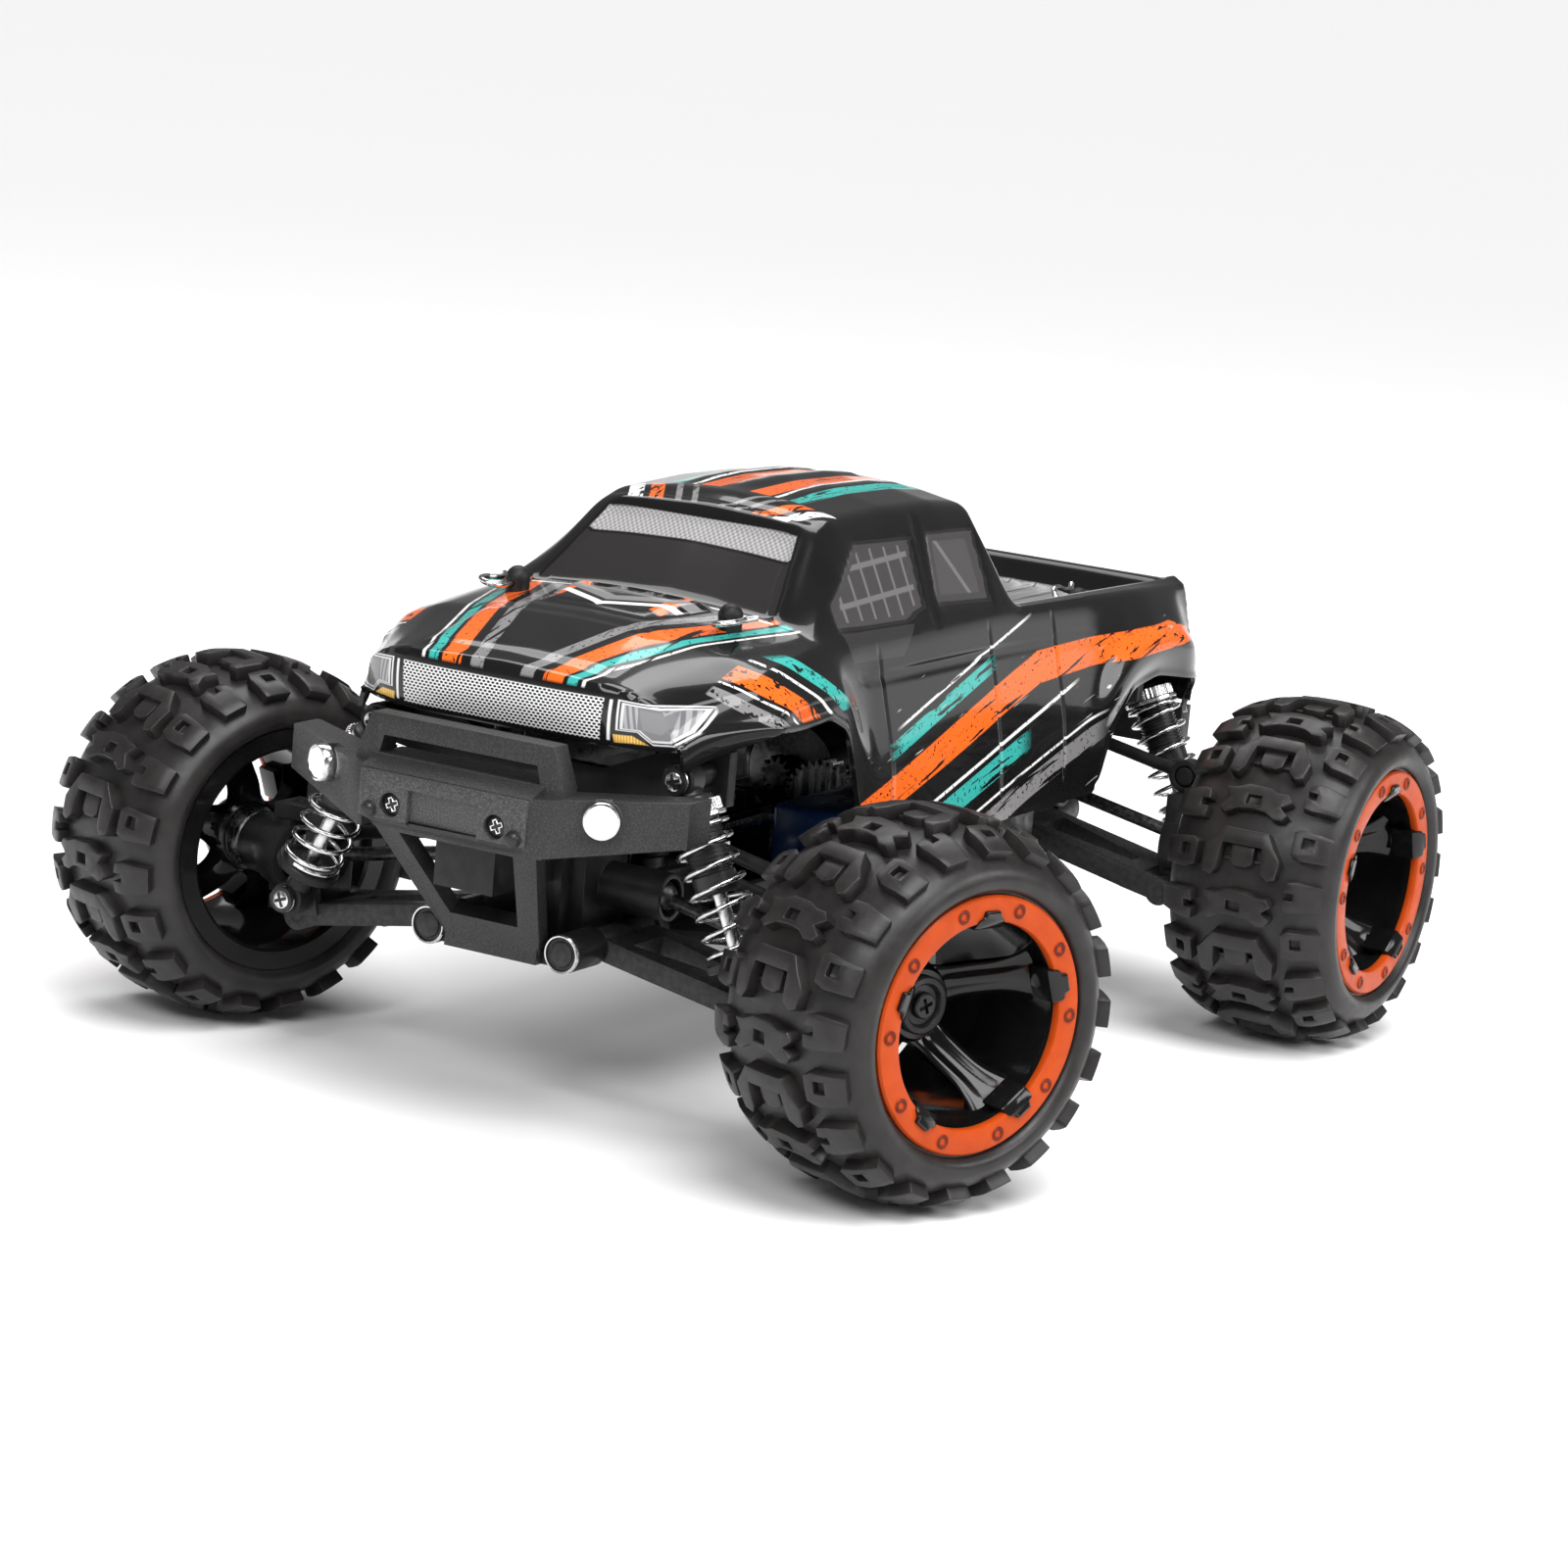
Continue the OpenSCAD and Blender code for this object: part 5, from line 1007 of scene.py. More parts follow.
def paint_roof(paint):
    """Lengthwise stripes, and slashes over the visor."""
    x, side, z = paint.x, paint.side, paint.z
    roof = paint.both(paint.spread(z, 112.5, 113.5), paint.spread(side, 27, 26))
    rows = ((3.6, 8.6, PAINT_ORANGE), (9.6, 10.6, PAINT_WHITE), (13.4, 16.4, PAINT_TEAL))
    paint.stripes(paint.both(roof, paint.band(x, -21, 31)), side, rows, 0, TOP_SCRATCH)
    rows = ((39, 42.6, PAINT_WHITE), (34, 37.4, PAINT_ORANGE), (29.5, 31, PAINT_GREY), (25.6, 27, PAINT_GREY))
    paint.stripes(paint.both(roof, paint.band(x, 31.5, 42)), paint.slanted(side, x, 0.55), rows, 0, VISOR_SCRATCH)


def paint_windscreen(paint):
    """Dark glass with a dotted band along its top and a white line below its foot."""
    x, side, y, z = paint.x, paint.side, paint.y, paint.z
    glass = paint.both(paint.region(SCREEN, x, y), paint.band(z, 100, 117))
    paint.layer(glass, GLASS_BLACK, 0.12)
    wave_y = paint.math("SINE", paint.math("MULTIPLY", y, 5.2))
    wave_z = paint.math("SINE", paint.math("MULTIPLY", z, 6.0))
    dots = paint.spread(paint.math("MULTIPLY", wave_y, wave_z), -0.2, 0.2)
    shade = paint.both(glass, paint.spread(x, 48.4, 48.1))
    paint.layer(shade, paint.blend(dots, (0.2, 0.196, 0.196), (0.36, 0.355, 0.355)), 0.3)
    paint.layer(paint.both(glass, paint.band(x, 48.1, 48.7)), LINE_BLACK)
    cowl = paint.both(paint.band(x, 62.1, 62.8), paint.spread(side, 30, 29.6), paint.spread(z, 98, 99))
    paint.layer(cowl, PAINT_WHITE)


def paint_side_windows(paint):
    """Grey panes with dark edges: a printed net on the front one, a pale pane with a strap on the rear one."""
    x, side, z = paint.x, paint.side, paint.z
    high = paint.both(paint.spread(side, 26, 26.5), paint.spread(z, 97.6, 98.2))
    front_pane = paint.both(high, paint.region(FRONT_WINDOW, x, z))
    rear_pane = paint.both(high, paint.region(REAR_WINDOW, x, z))
    paint.layer(paint.either(front_pane, rear_pane), (0.046, 0.043, 0.0435), 0.28)
    across = paint.math("PINGPONG", paint.slanted(x, z, 0.3), 2.9)
    up = paint.math("PINGPONG", paint.slanted(z, x, 0.04), 3.1)
    net = paint.either(paint.spread(across, 0.55, 0.35), paint.spread(up, 0.6, 0.4))
    inner = paint.region(scaled(FRONT_WINDOW, (22.5, 106), 0.84, 0.82), x, z)
    paint.layer(paint.both(front_pane, inner, net), (0.125, 0.12, 0.121))
    small = paint.both(rear_pane, paint.region(scaled(REAR_WINDOW, (-7.5, 107), 0.72, 0.74), x, z))
    paint.layer(small, (0.062, 0.059, 0.06))
    strap = paint.band(paint.slanted(x, z, -0.55), -66.5, -64.9)
    paint.layer(paint.both(small, strap), (0.13, 0.127, 0.128))
    for outline, pane in ((FRONT_WINDOW, front_pane), (REAR_WINDOW, rear_pane)):
        middle = [sum(values) / len(outline) for values in zip(*outline)]
        core = paint.region(scaled(outline, middle, 0.955, 0.93), x, z)
        paint.layer(paint.without(pane, core), (0.012, 0.012, 0.012))
    below = paint.region(((51, 99.2), (20, 98.4), (27, 92.6), (49, 93.2)), x, z)
    paint.layer(paint.both(below, paint.spread(side, 37, 37.5)), (0.026, 0.0245, 0.0245), 0.3)


def paint_seams(paint, flank):
    """Dark lines in the panel seams."""
    lean = paint.slanted(paint.x, paint.z, -0.08, 6.0)
    tall = paint.band(paint.z, 57, 96)
    for seam in SEAMS:
        paint.layer(paint.both(flank, paint.band(lean, seam - 0.14, seam + 0.14, 0.1), tall), SEAM_BLACK)


def paint_grille(paint, fascia):
    """A pale mesh with staggered round holes, and a white bar at each end of it."""
    side, y, z = paint.side, paint.y, paint.z
    pitch_y, pitch_z = 1.05, 0.62
    row = paint.math("FLOOR", paint.math("MULTIPLY", z, 1 / pitch_z))
    jump = paint.math("MULTIPLY", paint.math("MODULO", row, 2.0), 0.5)
    cell_y = paint.math("SUBTRACT", paint.math("FRACT", paint.math("MULTIPLY_ADD", y, 1 / pitch_y, jump)), 0.5)
    cell_z = paint.math("SUBTRACT", paint.math("FRACT", paint.math("MULTIPLY", z, 1 / pitch_z)), 0.5)
    round_y = paint.math("POWER", paint.math("MULTIPLY", cell_y, 2.6), 2.0)
    round_z = paint.math("POWER", paint.math("MULTIPLY", cell_z, 2.5), 2.0)
    hole = paint.spread(paint.math("ADD", round_y, round_z), 1.05, 0.8)
    mesh = paint.region(((-23.7, 90.6), (23.7, 90.6), (23.1, 82.2), (-23.1, 82.2)), y, z)
    paint.layer(paint.both(fascia, mesh), paint.blend(hole, (0.8, 0.8, 0.8), (0.006, 0.006, 0.006)), 0.4)
    bar = paint.both(paint.band(paint.slanted(side, z, -0.03), 22.15, 22.75), paint.band(z, 82.4, 90.5))
    paint.layer(paint.both(fascia, bar), PAINT_WHITE)


def paint_headlamps(paint):
    """Lamps with a double outline, a grey lens between barred ends, and an amber corner below."""
    x, side, z = paint.x, paint.side, paint.z
    area = paint.both(paint.spread(x, 98.5, 99.5), paint.spread(side, 25.6, 25.8))
    core = paint.nested(area, HEADLAMP, HEADLAMP_MIDDLE, ((1.0, (0.7, 0.7, 0.7)), (0.93, LINE_BLACK),
                                                          (0.87, (0.6, 0.6, 0.61)), (0.77, (0.16, 0.16, 0.165))))
    lens = paint.region(((30.6, 89.2), (35.6, 88.6), (36.2, 86.4), (34.6, 84.4), (31.4, 85.2)), side, z)
    paint.layer(paint.both(core, lens), (0.2, 0.2, 0.205))
    bars = paint.math("PINGPONG", paint.slanted(side, z, 0.15), 0.55)
    ends = paint.either(paint.spread(side, 30.6, 30.4), paint.spread(side, 35.8, 36.0))
    paint.layer(paint.both(core, ends, paint.spread(bars, 0.2, 0.3)), (0.34, 0.34, 0.35))
    amber = paint.either(paint.region(((25.9, 83.7), (29.6, 83.8), (30.4, 82.3), (26.1, 82.1)), side, z),
                         paint.region(((29.6, 83.8), (32.4, 82.2), (30.0, 82.2)), side, z))
    ribs = paint.spread(paint.math("PINGPONG", side, 0.28), 0.08, 0.2)
    paint.layer(paint.both(area, amber), paint.blend(ribs, (0.55, 0.3, 0.05), (0.85, 0.55, 0.14)), 0.2)


def paint_bed(paint):
    """Grey planks with pale rails."""
    x, side, z = paint.x, paint.side, paint.z
    bed = paint.both(paint.band(x, -109.4, -28.6), paint.spread(side, 28.4, 28.1), paint.band(z, 86, 91.4))
    grain = paint.spread(paint.noise(700.0, 3.0, (0.06, 1, 1)), 0.35, 0.65)
    paint.layer(bed, paint.blend(grain, (0.15, 0.145, 0.145), (0.24, 0.235, 0.235)), 0.32)
    plank = paint.math("PINGPONG", side, 3.4)
    paint.layer(paint.both(bed, paint.spread(plank, 3.0, 3.2)), (0.01, 0.01, 0.01))
    rail = paint.both(paint.band(side, 28.3, 28.9), paint.band(x, -110, -28.4), paint.band(z, 87, 92.5))
    paint.layer(rail, PAINT_WHITE)


def paint_back(paint):
    """Tail lamps, the gate's panel line and handle, and the cab's rear window."""
    side, y, z = paint.side, paint.y, paint.z
    tail = paint.spread(paint.x, -113.4, -114.2)
    lamp = paint.nested(tail, (TAIL_LAMP,), TAIL_LAMP_MIDDLE, ((1.0, (0.5, 0.5, 0.5)), (0.92, (0.006, 0.006, 0.006)),
                                                               (0.84, (0.3, 0.008, 0.006))))
    ribs = paint.spread(paint.math("PINGPONG", z, 0.5), 0.12, 0.3)
    paint.layer(paint.both(lamp, ribs), (0.52, 0.02, 0.012))
    paint.layer(paint.both(lamp, paint.band(z, 75.6, 78.4)), (0.6, 0.6, 0.6))
    gate = paint.both(tail, paint.band(side, -1, 30.4), paint.band(z, 70.6, 88.6))
    pressed = paint.both(tail, paint.band(side, -1, 29.8), paint.band(z, 71.2, 88.0))
    paint.layer(paint.without(gate, pressed), (0.16, 0.157, 0.157))
    cab = paint.band(paint.x, -29.5, -22.2)
    for area, outline, colour, rough in (
            (tail, ((-7.4, 86.6), (7.4, 86.6), (6.4, 82.8), (-6.4, 82.8)), (0.2, 0.2, 0.2), None),
            (tail, ((-6.9, 86.2), (6.9, 86.2), (6.0, 83.2), (-6.0, 83.2)), (0.02, 0.02, 0.02), 0.4),
            (cab, ((-25, 97), (25, 97), (21.5, 114.5), (-21.5, 114.5)), (0.1, 0.097, 0.097), None),
            (cab, ((-24.3, 97.6), (24.3, 97.6), (20.9, 113.9), (-20.9, 113.9)), GLASS_BLACK, 0.12)):
        paint.layer(paint.both(area, paint.region(outline, y, z)), colour, rough)


def shell_paint():
    paint = Paint("printed_shell", PAINT_BLACK, 0.2)
    flank = paint.both(paint.spread(paint.side, 37.2, 37.6), paint.spread(paint.z, 97.4, 96.8))
    paint_flank(paint, flank)
    paint_fender(paint, flank)
    paint_bonnet(paint)
    paint_roof(paint)
    paint_windscreen(paint)
    paint_side_windows(paint)
    paint_seams(paint, flank)
    paint_grille(paint, paint.both(paint.spread(paint.x, 100.5, 101.5), paint.spread(paint.z, 91.4, 91.1)))
    paint_headlamps(paint)
    paint_bed(paint)
    paint_back(paint)
    return paint.done()


put(shell_model(), "chassis", "shell", None, "body_shell").name = "look_body_shell"


# Shocks

SHOCK_X = 103
# Eyes as (distance from the middle, height above the ground)
SHOCK_TOP = (36, 75)
SHOCK_FOOT = (55.6, 34)
SHOCK_LEN = math.dist(SHOCK_TOP, SHOCK_FOOT)
# Spring's seats, down the shock from its top eye
COLLAR_END = 8.5
CUP_START = 36.4
SPRING_R = 5.8
WIRE_R = 0.5
THREADS = 12
KNURLS = 32


def facing(place, way):
    """Matrix that puts Z along a direction, at a place in mm."""
    out = Vector(way).normalized()
    turned_to = out.to_track_quat("Z", "Y").to_matrix().to_4x4()
    turned_to.translation = Vector(place) * MM
    return turned_to


def shock_place(sx, sy):
    """Matrix from a shock's own frame, Z down its length and X along the truck, to its place."""
    top = Vector((sx * SHOCK_X, sy * SHOCK_TOP[0], SHOCK_TOP[1]))
    foot = Vector((sx * SHOCK_X, sy * SHOCK_FOOT[0], SHOCK_FOOT[1]))
    down = (foot - top).normalized()
    along = Vector((sx, 0, 0))
    place = Matrix((along, down.cross(along), down)).transposed().to_4x4()
    place.translation = top * MM
    return place


def eye_model(name, bore, half, height):
    """Eye on an X axis for a pivot screw."""
    eye = turned(name, ((bore, -half), (3.2, -half), (3.6, 0.4 - half), (3.6, half - 0.4), (3.2, half), (bore, half),
                        (bore, -half)), 36)
    shift(eye, Matrix.Translation((0, 0, height * MM)) @ Matrix.Rotation(math.radians(90), 4, "Y"))
    return eye


def shock_body_model():
    """Top eye, threaded tube and smooth lower cap."""
    profile = [(0, 2.6), (2.5, 2.6), (3.0, 3.6), (4.3, 4.0), (4.5, 4.3), (4.5, 9.0), (4.05, 9.3)]
    for k in range(THREADS):
        start = 9.5 + 0.8 * k
        profile += [(4.05, start), (4.45, start + 0.18), (4.45, start + 0.36), (4.05, start + 0.55)]
    profile += [(4.05, 19.2), (4.3, 19.3), (4.5, 19.55), (4.5, 23.1), (4.2, 23.5), (1.65, 23.5), (1.65, 8.5), (0, 8.5)]
    threaded = turned("threaded_tube", profile, 48)
    body = join([threaded, eye_model("top_eye", 1.6, 2.5, 0)], "shock_body_model")
    smooth(body, 35)
    return body


def collar_model():
    """Knurled nut with a plain flange that the spring sits under."""
    outline = []
    for k in range(KNURLS):
        for share, radius in ((0.0, 5.75), (0.3, 5.75), (0.5, 5.3), (0.8, 5.3)):
            turn = 2 * math.pi * (k + share) / KNURLS
            outline.append((radius * math.cos(turn), radius * math.sin(turn)))
    knurl = plate("knurl", outline, 5.0, 7.5)
    soften(knurl, 0.12, 1, 50)
    flange = turned("flange", ((4.5, 7.5), (6.0, 7.5), (6.2, 7.7), (6.2, 8.3), (6.0, COLLAR_END), (4.5, COLLAR_END),
                               (4.5, 7.5)), 48)
    collar = join([knurl, flange], "collar_model")
    smooth(collar, 30)
    return collar


def rod_model():
    rod = turned("rod_model", ((0, 17.8), (1.3, 17.8), (1.5, 18.0), (1.5, 37), (0, 37)), 28)
    smooth(rod, 35)
    return rod


def cup_model():
    """Lower spring cup, its neck and the lower eye."""
    profile = ((1.5, 35.7), (2.3, 35.7), (2.6, 36.0), (2.7, CUP_START), (6.1, CUP_START), (6.5, 36.5), (6.75, 36.8),
               (6.75, 38.0), (6.4, 38.4), (3.4, 38.6), (2.7, 39.6), (2.45, 41.2), (2.6, 42.6), (0, 43.2))
    cup = join([turned("cup", profile, 48), eye_model("low_eye", 1.95, 2.3, SHOCK_LEN)], "cup_model")
    smooth(cup, 35)
    return cup


def spring_model():
    """Coil spring with a closed turn at each end."""
    turns, steps = 8, 30
    closed = 2.06 * WIRE_R
    start, end = COLLAR_END + WIRE_R, CUP_START - WIRE_R
    shares = [step(k / steps, 0.75, 1.3) * (1 - step(k / steps, turns - 1.3, turns - 0.75))
              for k in range(turns * steps)]
    open_pitch = closed + (end - start - closed * turns) * steps / sum(shares)
    points, height = [], start
    for k, share in enumerate(shares + [0]):
        turn = 2 * math.pi * k / steps
        points.append((SPRING_R * math.cos(turn), SPRING_R * math.sin(turn), height))
        height += (closed + share * (open_pitch - closed)) / steps
    spring = tube("spring_model", points, WIRE_R)
    smooth(spring, 60)
    return spring


def screw_model():
    """Pan head with a cross recess, facing up Z from its seat."""
    profile = ((0, 1.35), (0.9, 1.32), (1.8, 1.1), (2.5, 0.6), (2.8, 0.1), (2.8, -0.1), (0, -0.1))
    head = turned("screw_model", profile, 32)
    cross_head(head, 2.2, 1.3, 0.8, 0.7)
    smooth(head, 35)
    return head


def shocks():
    models = (("shock_body", shock_body_model(), satin_black, "shock"),
              ("shock_shaft", cup_model(), moulded, "steel"))
    extras = (("shock_collar", collar_model(), bright_collar, "shock_body", "steel"),
              ("shock_rod", rod_model(), steel, "shock_shaft", "steel"))
    spring = spring_model()
    screw = screw_model()
    for corner, sx, sy in CORNERS:
        place = shock_place(sx, sy)
        for part, model, finish, slot in models:
            node = part + "_" + corner
            put(copy_of(model, "look_" + node, place), node, slot, finish, node)
        for part, model, finish, body, slot in extras:
            put(copy_of(model, part + "_" + corner, place), body + "_" + corner, slot, finish)
        coil = copy_of(spring, "look_spring_" + corner, place)
        coil.data.materials.append(spring_wire)
        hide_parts("shock_spring_" + corner)
        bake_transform(coil)
        for name, (out, height), body in (("top", SHOCK_TOP, "chassis"), ("low", SHOCK_FOOT, "arm_" + corner)):
            seat = facing((sx * (SHOCK_X + 3.05), sy * out, height), (sx, 0, 0))
            put(copy_of(screw, "shock_screw_" + name + "_" + corner, seat), body, "steel", steel)
    for model in [row[1] for row in models + extras] + [spring, screw]:
        bpy.data.objects.remove(model)


shocks()


# Bumper details, lamps, hinge pins and body clips

BUMPER_X = 133
# Screws, buttons and hinge pins as (distance from the middle, height above the ground)
PLATE_SCREW = (12.3, 65.3)
BUTTON = (17, 63.7)
ARM_PIN = (16, 37)
PIN_ENDS = (75.5, 111.2)
LAMP = (127.5, 33, 69.5)
LAMP_TURN = 26
# Body posts as (place along the truck, distance from the middle)
FRONT_POST = (72.6, 25.7)
REAR_POST = (-82, 28)


def plate_screw_model():
    """Sunk dark head whose cross recess has a bright rim."""
    head = turned("head", ((0, 0.25), (1.9, 0.2), (2.25, -0.05), (2.25, -0.6), (0, -0.6)), 32)
    head.data.materials.append(satin_black)
    bars = []
    for turn in (25, 115):
        bar = block("bar", (-1.5, -0.55, -0.3), (1.5, 0.55, 0.42))
        shift(bar, Matrix.Rotation(math.radians(turn), 4, "Z"))
        bars.append(bar)
    cross = bars[0]
    cut(cross, bars[1], "UNION")
    for turn in (25, 115):
        bar = block("bar", (-1.2, -0.28, -0.2), (1.2, 0.28, 1))
        shift(bar, Matrix.Rotation(math.radians(turn), 4, "Z"))
        cut(cross, bar)
    soften(cross, 0.06, 1)
    cross.data.materials.append(spring_wire)
    screw = join([head, cross], "plate_screw_model")
    smooth(screw, 35)
    return screw


def plate_model():
    """Raised middle plate with a rectangular recess and two screw holes, its face up Z."""
    outline = ((-19.7, 62.3), (19.7, 62.3), (19.7, 71.7), (-19.7, 71.7))
    face = plate("bumper_plate", outline, BUMPER_X - 1.4, BUMPER_X + 0.6)
    pocket = block("pocket", (-8.6, 60, BUMPER_X - 0.95), (8.6, 69, BUMPER_X + 2))
    edit(pocket)
    pick(pocket, lambda p: p.z < BUMPER_X)
    bpy.ops.transform.resize(value=(0.93, 0.96, 1))
    close()
    cut(face, pocket)
    for sy in (1, -1):
        hole = turned("hole", ((0, BUMPER_X - 3), (2.4, BUMPER_X - 3), (2.4, BUMPER_X + 3), (0, BUMPER_X + 3)), 40)
        shift(hole, Matrix.Translation((sy * PLATE_SCREW[0] * MM, PLATE_SCREW[1] * MM, 0)))
        cut(face, hole)
    soften(face, 0.3, 2)
    smooth(face, 35)
    # Turns the drawing's x, y and z to the truck's y, z and x
    shift(face, Matrix(((0, 0, 1, 0), (1, 0, 0, 0), (0, 1, 0, 0), (0, 0, 0, 1))))
    return face


def button_model():
    button = turned("button_model", ((0, 2.0), (0.9, 1.95), (1.35, 1.75), (1.6, 1.3), (1.62, 0.9), (1.8, 0.6),
                                     (1.85, 0), (1.85, -1), (0, -1)), 28)
    smooth(button, 40)
    return button


def bezel_model():
    bezel = turned("bezel_model", ((2.75, -0.6), (3.78, -0.6), (3.78, 1.2), (3.6, 1.5), (3.2, 1.6), (2.95, 1.4),
                                   (2.75, 0.9), (2.75, -0.6)), 40)
    smooth(bezel, 35)
    return bezel


def lens_model():
    lens = turned("lens_model", ((0, 2.45), (0.9, 2.4), (1.7, 2.15), (2.35, 1.7), (2.72, 1.05), (2.72, 0), (0, 0)), 36)
    smooth(lens, 45)
    return lens


def pin_model():
    """Hinge pin with a domed cap and a bright ring at its outer end, along Z."""
    low, high = PIN_ENDS
    pin = turned("pin_model", ((0, low), (1.2, low), (1.45, low + 0.3), (1.45, high), (0, high)), 24)
    domed = ((0, 0.5), (1.6, 0.45), (2.5, 0.15), (2.7, -0.2), (3.3, -0.2), (3.45, 0.25), (3.75, 0.3), (3.95, 0),
             (3.95, -0.7), (0, -0.7))
    cap = turned("cap", [(r, high + z) for r, z in domed], 36)
    rim = ((3.4, -0.3), (3.5, 0.3), (3.75, 0.36), (3.98, 0.05), (3.98, -0.3), (3.4, -0.3))
    ring = turned("ring", [(r, high + z) for r, z in rim], 36)
    for piece, finish in ((pin, steel), (cap, sand_arm), (ring, steel)):
        piece.data.materials.append(finish)
    pin = join([pin, cap, ring], "pin_model")
    smooth(pin, 35)
    return pin


def clip_model():
    """Wire clip: one leg through the post, a round bow and a waved second leg beside it."""
    points = [(-4.3, 0, 0), (0, 0, 0), (5.6, 0, 0)]
    for k in range(13):
        turn = math.radians(-90 + 15 * k)
        points.append((6 + 2.4 * math.cos(turn), 2.4 + 2.4 * math.sin(turn), 0))
    waved = ((5, 4.75), (4, 4.5), (3, 4.05), (2, 3.65), (1, 3.5), (0, 3.65), (-1, 4.05), (-1.8, 4.5), (-2.4, 5.0))
    clip = tube("clip_model", points + [(x, y, 0) for x, y in waved], 0.66)
    smooth(clip, 60)
    return clip


def clip_height(x, y):
    """Height of the CAD clip beside a post."""
    source = frame["nodes"]["fasteners"]
    places = [source.matrix_world @ vert.co / MM for vert in source.data.vertices]
    near = [p.z for p in places if abs(p.x - x) < 9 and abs(p.y - y) < 6 and p.z > 80]
    return (min(near) + max(near)) / 2


def bumper_details():
    makers = (plate_screw_model, button_model, bezel_model, lens_model, pin_model, clip_model)
    models = [make() for make in makers]
    plate_screw, button, bezel, lens, pin, clip = models
    # The middle plate's lighter sand finish is painted light for its lit face
    put(plate_model(), "chassis", "bumper", sand_plate_painted_light)
    ahead = (1, 0, 0)
    for side, sy in (("left", 1), ("right", -1)):
        y, z = PLATE_SCREW
        seat = facing((BUMPER_X - 0.75, sy * y, z), ahead)
        put(copy_of(plate_screw, "plate_screw_" + side, seat), "chassis", "steel", None)
        y, z = BUTTON
        seat = facing((BUMPER_X, sy * y, z), ahead)
        put(copy_of(button, "rubber_button_" + side, seat), "chassis", "bumper", satin_black)
        turn = math.radians(LAMP_TURN) * sy
        seat = facing((LAMP[0], sy * LAMP[1], LAMP[2]), (math.cos(turn), math.sin(turn), 0))
        put(copy_of(bezel, "lamp_bezel_" + side, seat), "chassis", "lamp", spring_wire)
        put(copy_of(lens, "lamp_lens_" + side, seat), "chassis", "lamp", lit_lens(sy), "bumper_lamps")
        for end, sx in (("front", 1), ("rear", -1)):
            y, z = ARM_PIN
            seat = facing((0, sy * y, z), (sx, 0, 0))
            put(copy_of(pin, "hinge_pin_" + end + "_" + side, seat), "chassis", "steel", None)
        for end, (x, y), way, tilt in (("front", FRONT_POST, 1, 12), ("rear", REAR_POST, -1, 50)):
            seat = Matrix.Translation(Vector((x, sy * y, clip_height(x, sy * y))) * MM)
            seat = seat @ Matrix.Diagonal((1, way * sy, 1, 1)) @ Matrix.Rotation(math.radians(tilt), 4, "X")
            put(copy_of(clip, "body_clip_" + end + "_" + side, seat), "chassis", "steel", spring_wire, "fasteners")
    for model in models:
        bpy.data.objects.remove(model)


def lit_lens(sy):
    """White lamp that is brightest in its middle."""
    lit = Finish("lit_lens_" + ("left" if sy > 0 else "right"), (0.95, 0.95, 0.95), 0.12)
    middle = (LAMP[0] * MM, sy * LAMP[1] * MM, LAMP[2] * MM)
    apart = lit.node("ShaderNodeVectorMath", {0: lit.place, 1: middle}, operation="DISTANCE")
    lit.set("Emission Color", (1.0, 0.99, 0.97, 1))
    lit.set("Emission Strength", lit.spread(apart.outputs["Value"], 0.0019, 0.0033, 7.0, 0.35))
    lit.bump(lit.noise(900.0, 1.0), 0.2, 0.1)
    return lit.material


bumper_details()


# Moulded parts: merged copies of the CAD with their edges rounded

def softened(node, width, finish, slot):
    source = frame["nodes"][node]
    piece = copy_of(source, "look_" + node, source.matrix_world)
    edit(piece)
    bpy.ops.mesh.remove_doubles(threshold=0.004 * MM)
    bpy.ops.mesh.select_all(action="SELECT")
    bpy.ops.mesh.dissolve_limited(angle_limit=math.radians(1.5))
    bpy.ops.mesh.select_all(action="SELECT")
    bpy.ops.mesh.normals_make_consistent(inside=False)
    close()
    soften(piece, width, 2, 40)
    smooth(piece, 35)
    return put(piece, source["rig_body"], slot, finish, node)


# Width of the rounding, finish and slot
SOFTENED = {"lower_arm": (0.7, sand_arm, "arm"), "upper_link": (0.35, moulded, "arm"),
            "caster_block": (0.6, moulded, "arm"), "steering_knuckle": (0.4, moulded, "arm"),
            "tie_rod": (0.3, moulded, "arm"), "hub_carrier": (0.6, moulded, "arm"),
            "chassis_tub": (0.5, moulded, "chassis"), "gearbox_cases": (0.6, moulded, "chassis"),
            "shock_towers": (0.4, moulded, "chassis"), "front_bumper": (0.55, sand_black, "bumper"),
            "steering_servo": (0.5, satin_black, "servo"), "servo_saver": (0.4, moulded, "arm"),
            "idler_crank": (0.4, moulded, "arm"), "motor": (0.5, motor_can, "motor"),
            "battery_pack": (1.6, battery_wrap, "battery"), "speed_controller": (0.4, satin_black, "controller")}

for node in sorted(frame["nodes"]):
    for name, (width, finish, slot) in SOFTENED.items():
        if node.startswith(name):
            softened(node, width, finish, slot)

# The faces of the bumper's foot, behind its face, take the darker moulded finish
bumper = bpy.data.objects["look_front_bumper"]
bumper.data.materials.append(moulded)
for face in bumper.data.polygons:
    corners = [bumper.data.vertices[k].co / MM for k in face.vertices]
    if all(p.x < BUMPER_X - 7 and abs(p.y) < 9.5 and p.z < 66 for p in corners):
        face.material_index = 1


# CAD nodes that stay, with their finishes

KEPT = {"half_shaft": motor_can, "centre_link": steel, "centre_shaft": steel, "motor_pinion": brass}

for node, piece in frame["nodes"].items():
    for name, finish in KEPT.items():
        if node.startswith(name):
            piece.data.materials.clear()
            piece.data.materials.append(finish)


# Stage, in metres

# World's strength at the horizon and overhead, and the rise of a direction between which it fades
WORLD_STRENGTH = (1.0, 0.18)
WORLD_FADE = (0.05, 0.14)
KEY_WAY = (-0.28, -0.42, -1)
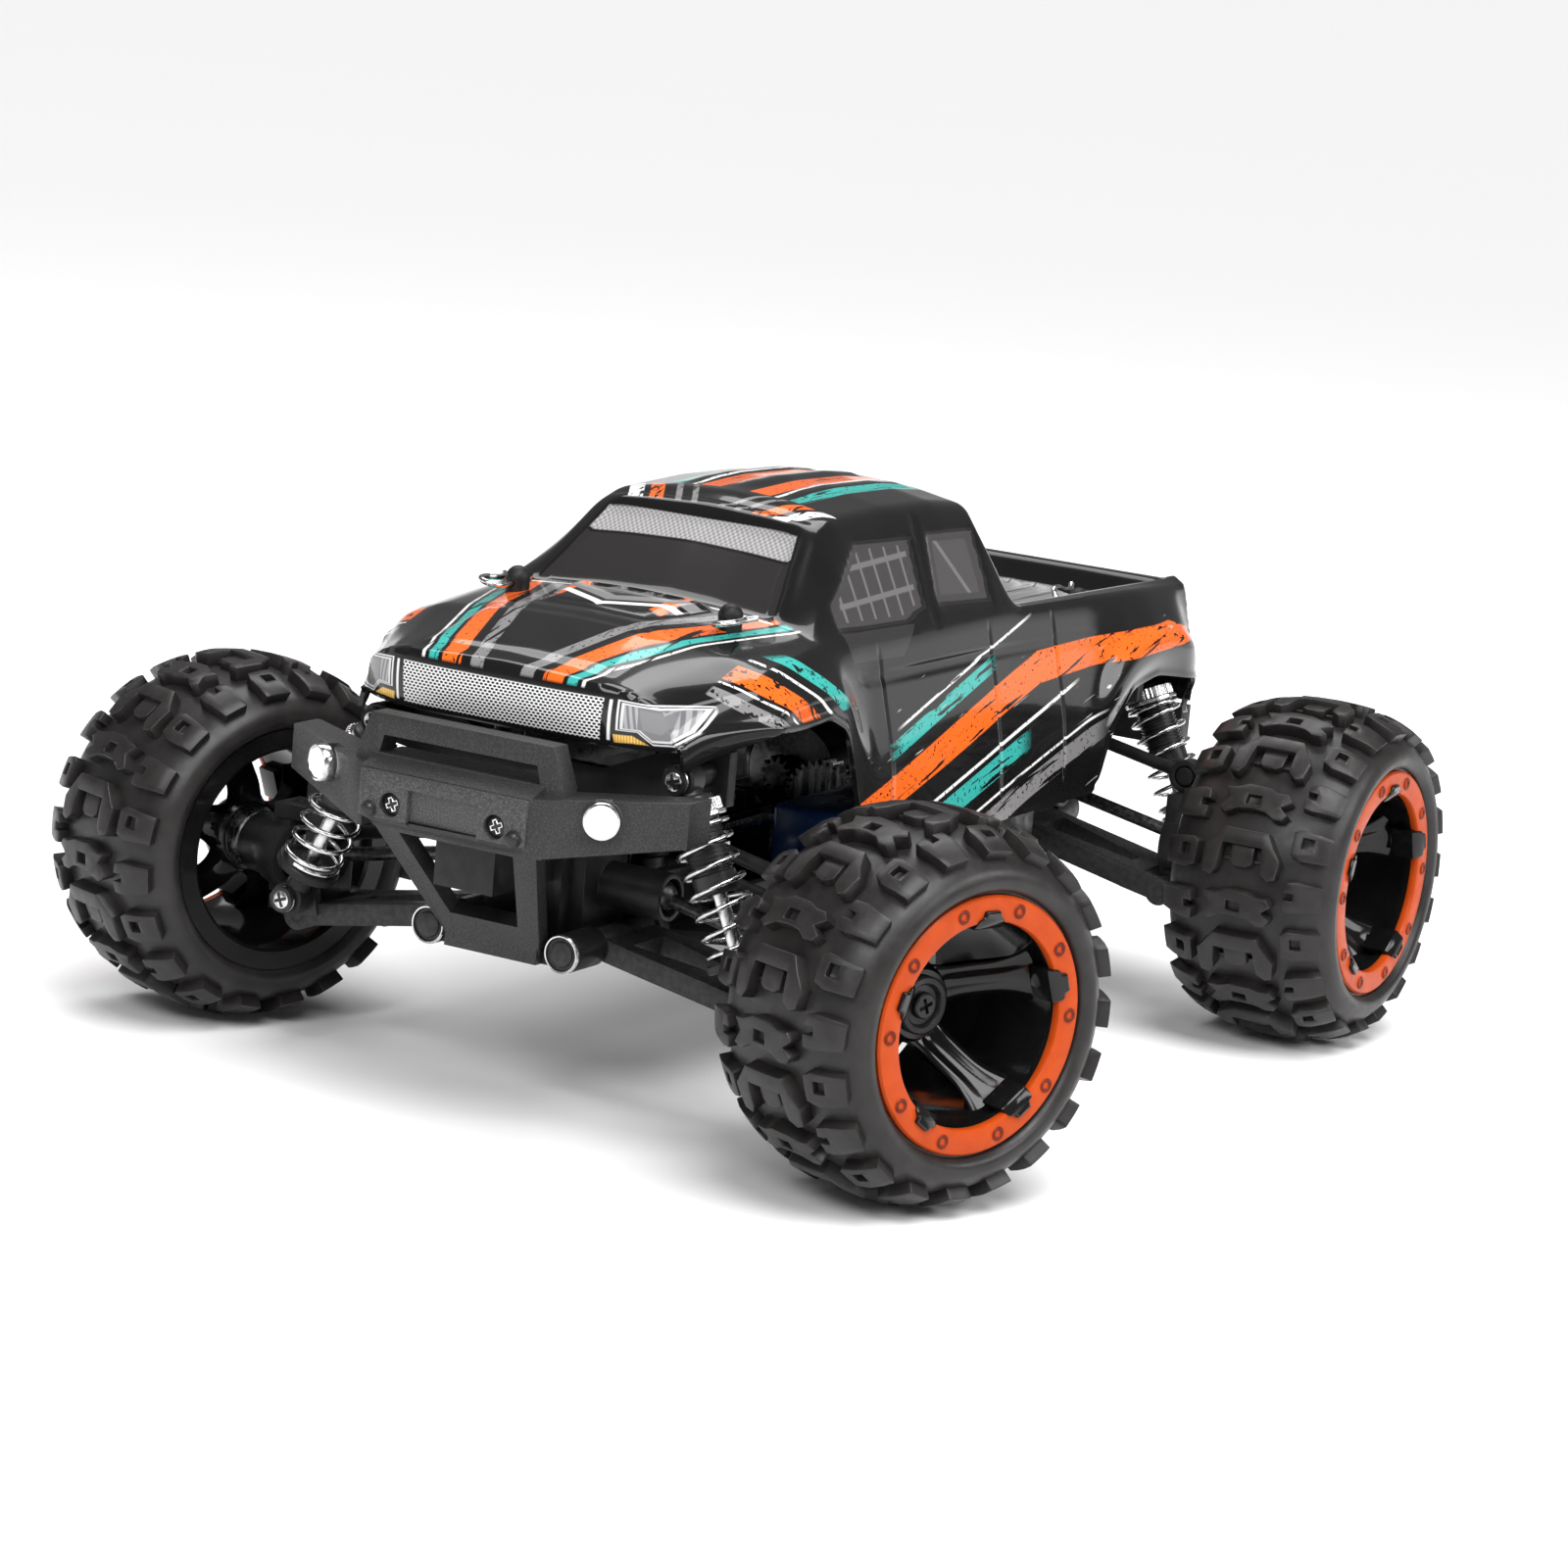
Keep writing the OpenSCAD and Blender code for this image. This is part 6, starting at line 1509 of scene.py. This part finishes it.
# Place, aim, size and power
SOFTBOXES = {"top_box": ((-0.35, -0.3, 0.95), (0, 0, 0.1), (0.9, 0.45), 5.5),
             "front_box": ((0.9, 0.15, 0.7), (0, 0, 0.06), (0.7, 0.35), 6),
             "side_box": ((-0.1, 1.0, 0.6), (0, 0, 0.05), (0.9, 0.3), 6)}
CAMERA_PLACE = (0.86097, 0.48237, 0.25138)
# Directions to the camera's right, up and back
CAMERA_AXES = ((-0.50133, 0.86092, 0.08649), (-0.12714, -0.17217, 0.97683), (0.85586, 0.47872, 0.19577))


def held(name, data):
    """Puts a lamp or a camera in the scene."""
    holder = bpy.data.objects.new(name, data)
    bpy.context.scene.collection.objects.link(holder)
    return holder


def stage():
    bpy.ops.object.select_all(action="DESELECT")
    bpy.ops.mesh.primitive_plane_add(size=60)
    floor = bpy.context.active_object
    floor.name = "floor"
    pale = Finish("pale_floor", (0.9, 0.9, 0.9), 0.9)
    pale.set("Specular IOR Level", 0.0)
    floor.data.materials.append(pale.material)

    world = bpy.data.worlds.new("studio")
    bpy.context.scene.world = world
    world.use_nodes = True
    tree = world.node_tree
    back = tree.nodes["Background"]
    back.inputs["Color"].default_value = (1.0, 1.0, 1.0, 1)
    way = tree.nodes.new("ShaderNodeSeparateXYZ")
    tree.links.new(tree.nodes.new("ShaderNodeTexCoord").outputs["Generated"], way.inputs[0])
    strength = tree.nodes.new("ShaderNodeMapRange")
    for socket, value in zip(strength.inputs[1:5], WORLD_FADE + WORLD_STRENGTH):
        socket.default_value = value
    tree.links.new(way.outputs["Z"], strength.inputs[0])
    tree.links.new(strength.outputs[0], back.inputs["Strength"])

    key = bpy.data.lights.new("key", "SUN")
    key.energy = 2.9
    key.angle = math.radians(38)
    held("key", key).rotation_euler = Vector(KEY_WAY).to_track_quat("-Z", "Y").to_euler()
    for name, (place, aim, size, power) in SOFTBOXES.items():
        lamp = bpy.data.lights.new(name, "AREA")
        lamp.shape = "RECTANGLE"
        lamp.size, lamp.size_y = size
        lamp.energy = power
        holder = held(name, lamp)
        holder.location = place
        holder.rotation_euler = (Vector(aim) - Vector(place)).to_track_quat("-Z", "Y").to_euler()


def camera():
    lens = bpy.data.cameras.new("camera")
    lens.sensor_width = 36
    lens.lens = 105.08
    lens.clip_end = 100
    holder = held("camera", lens)
    seat = Matrix(CAMERA_AXES).transposed().to_4x4()
    seat.translation = Vector(CAMERA_PLACE)
    holder.matrix_world = seat
    bpy.context.scene.camera = holder


stage()
camera()
bpy.context.scene.view_settings.view_transform = "Standard"
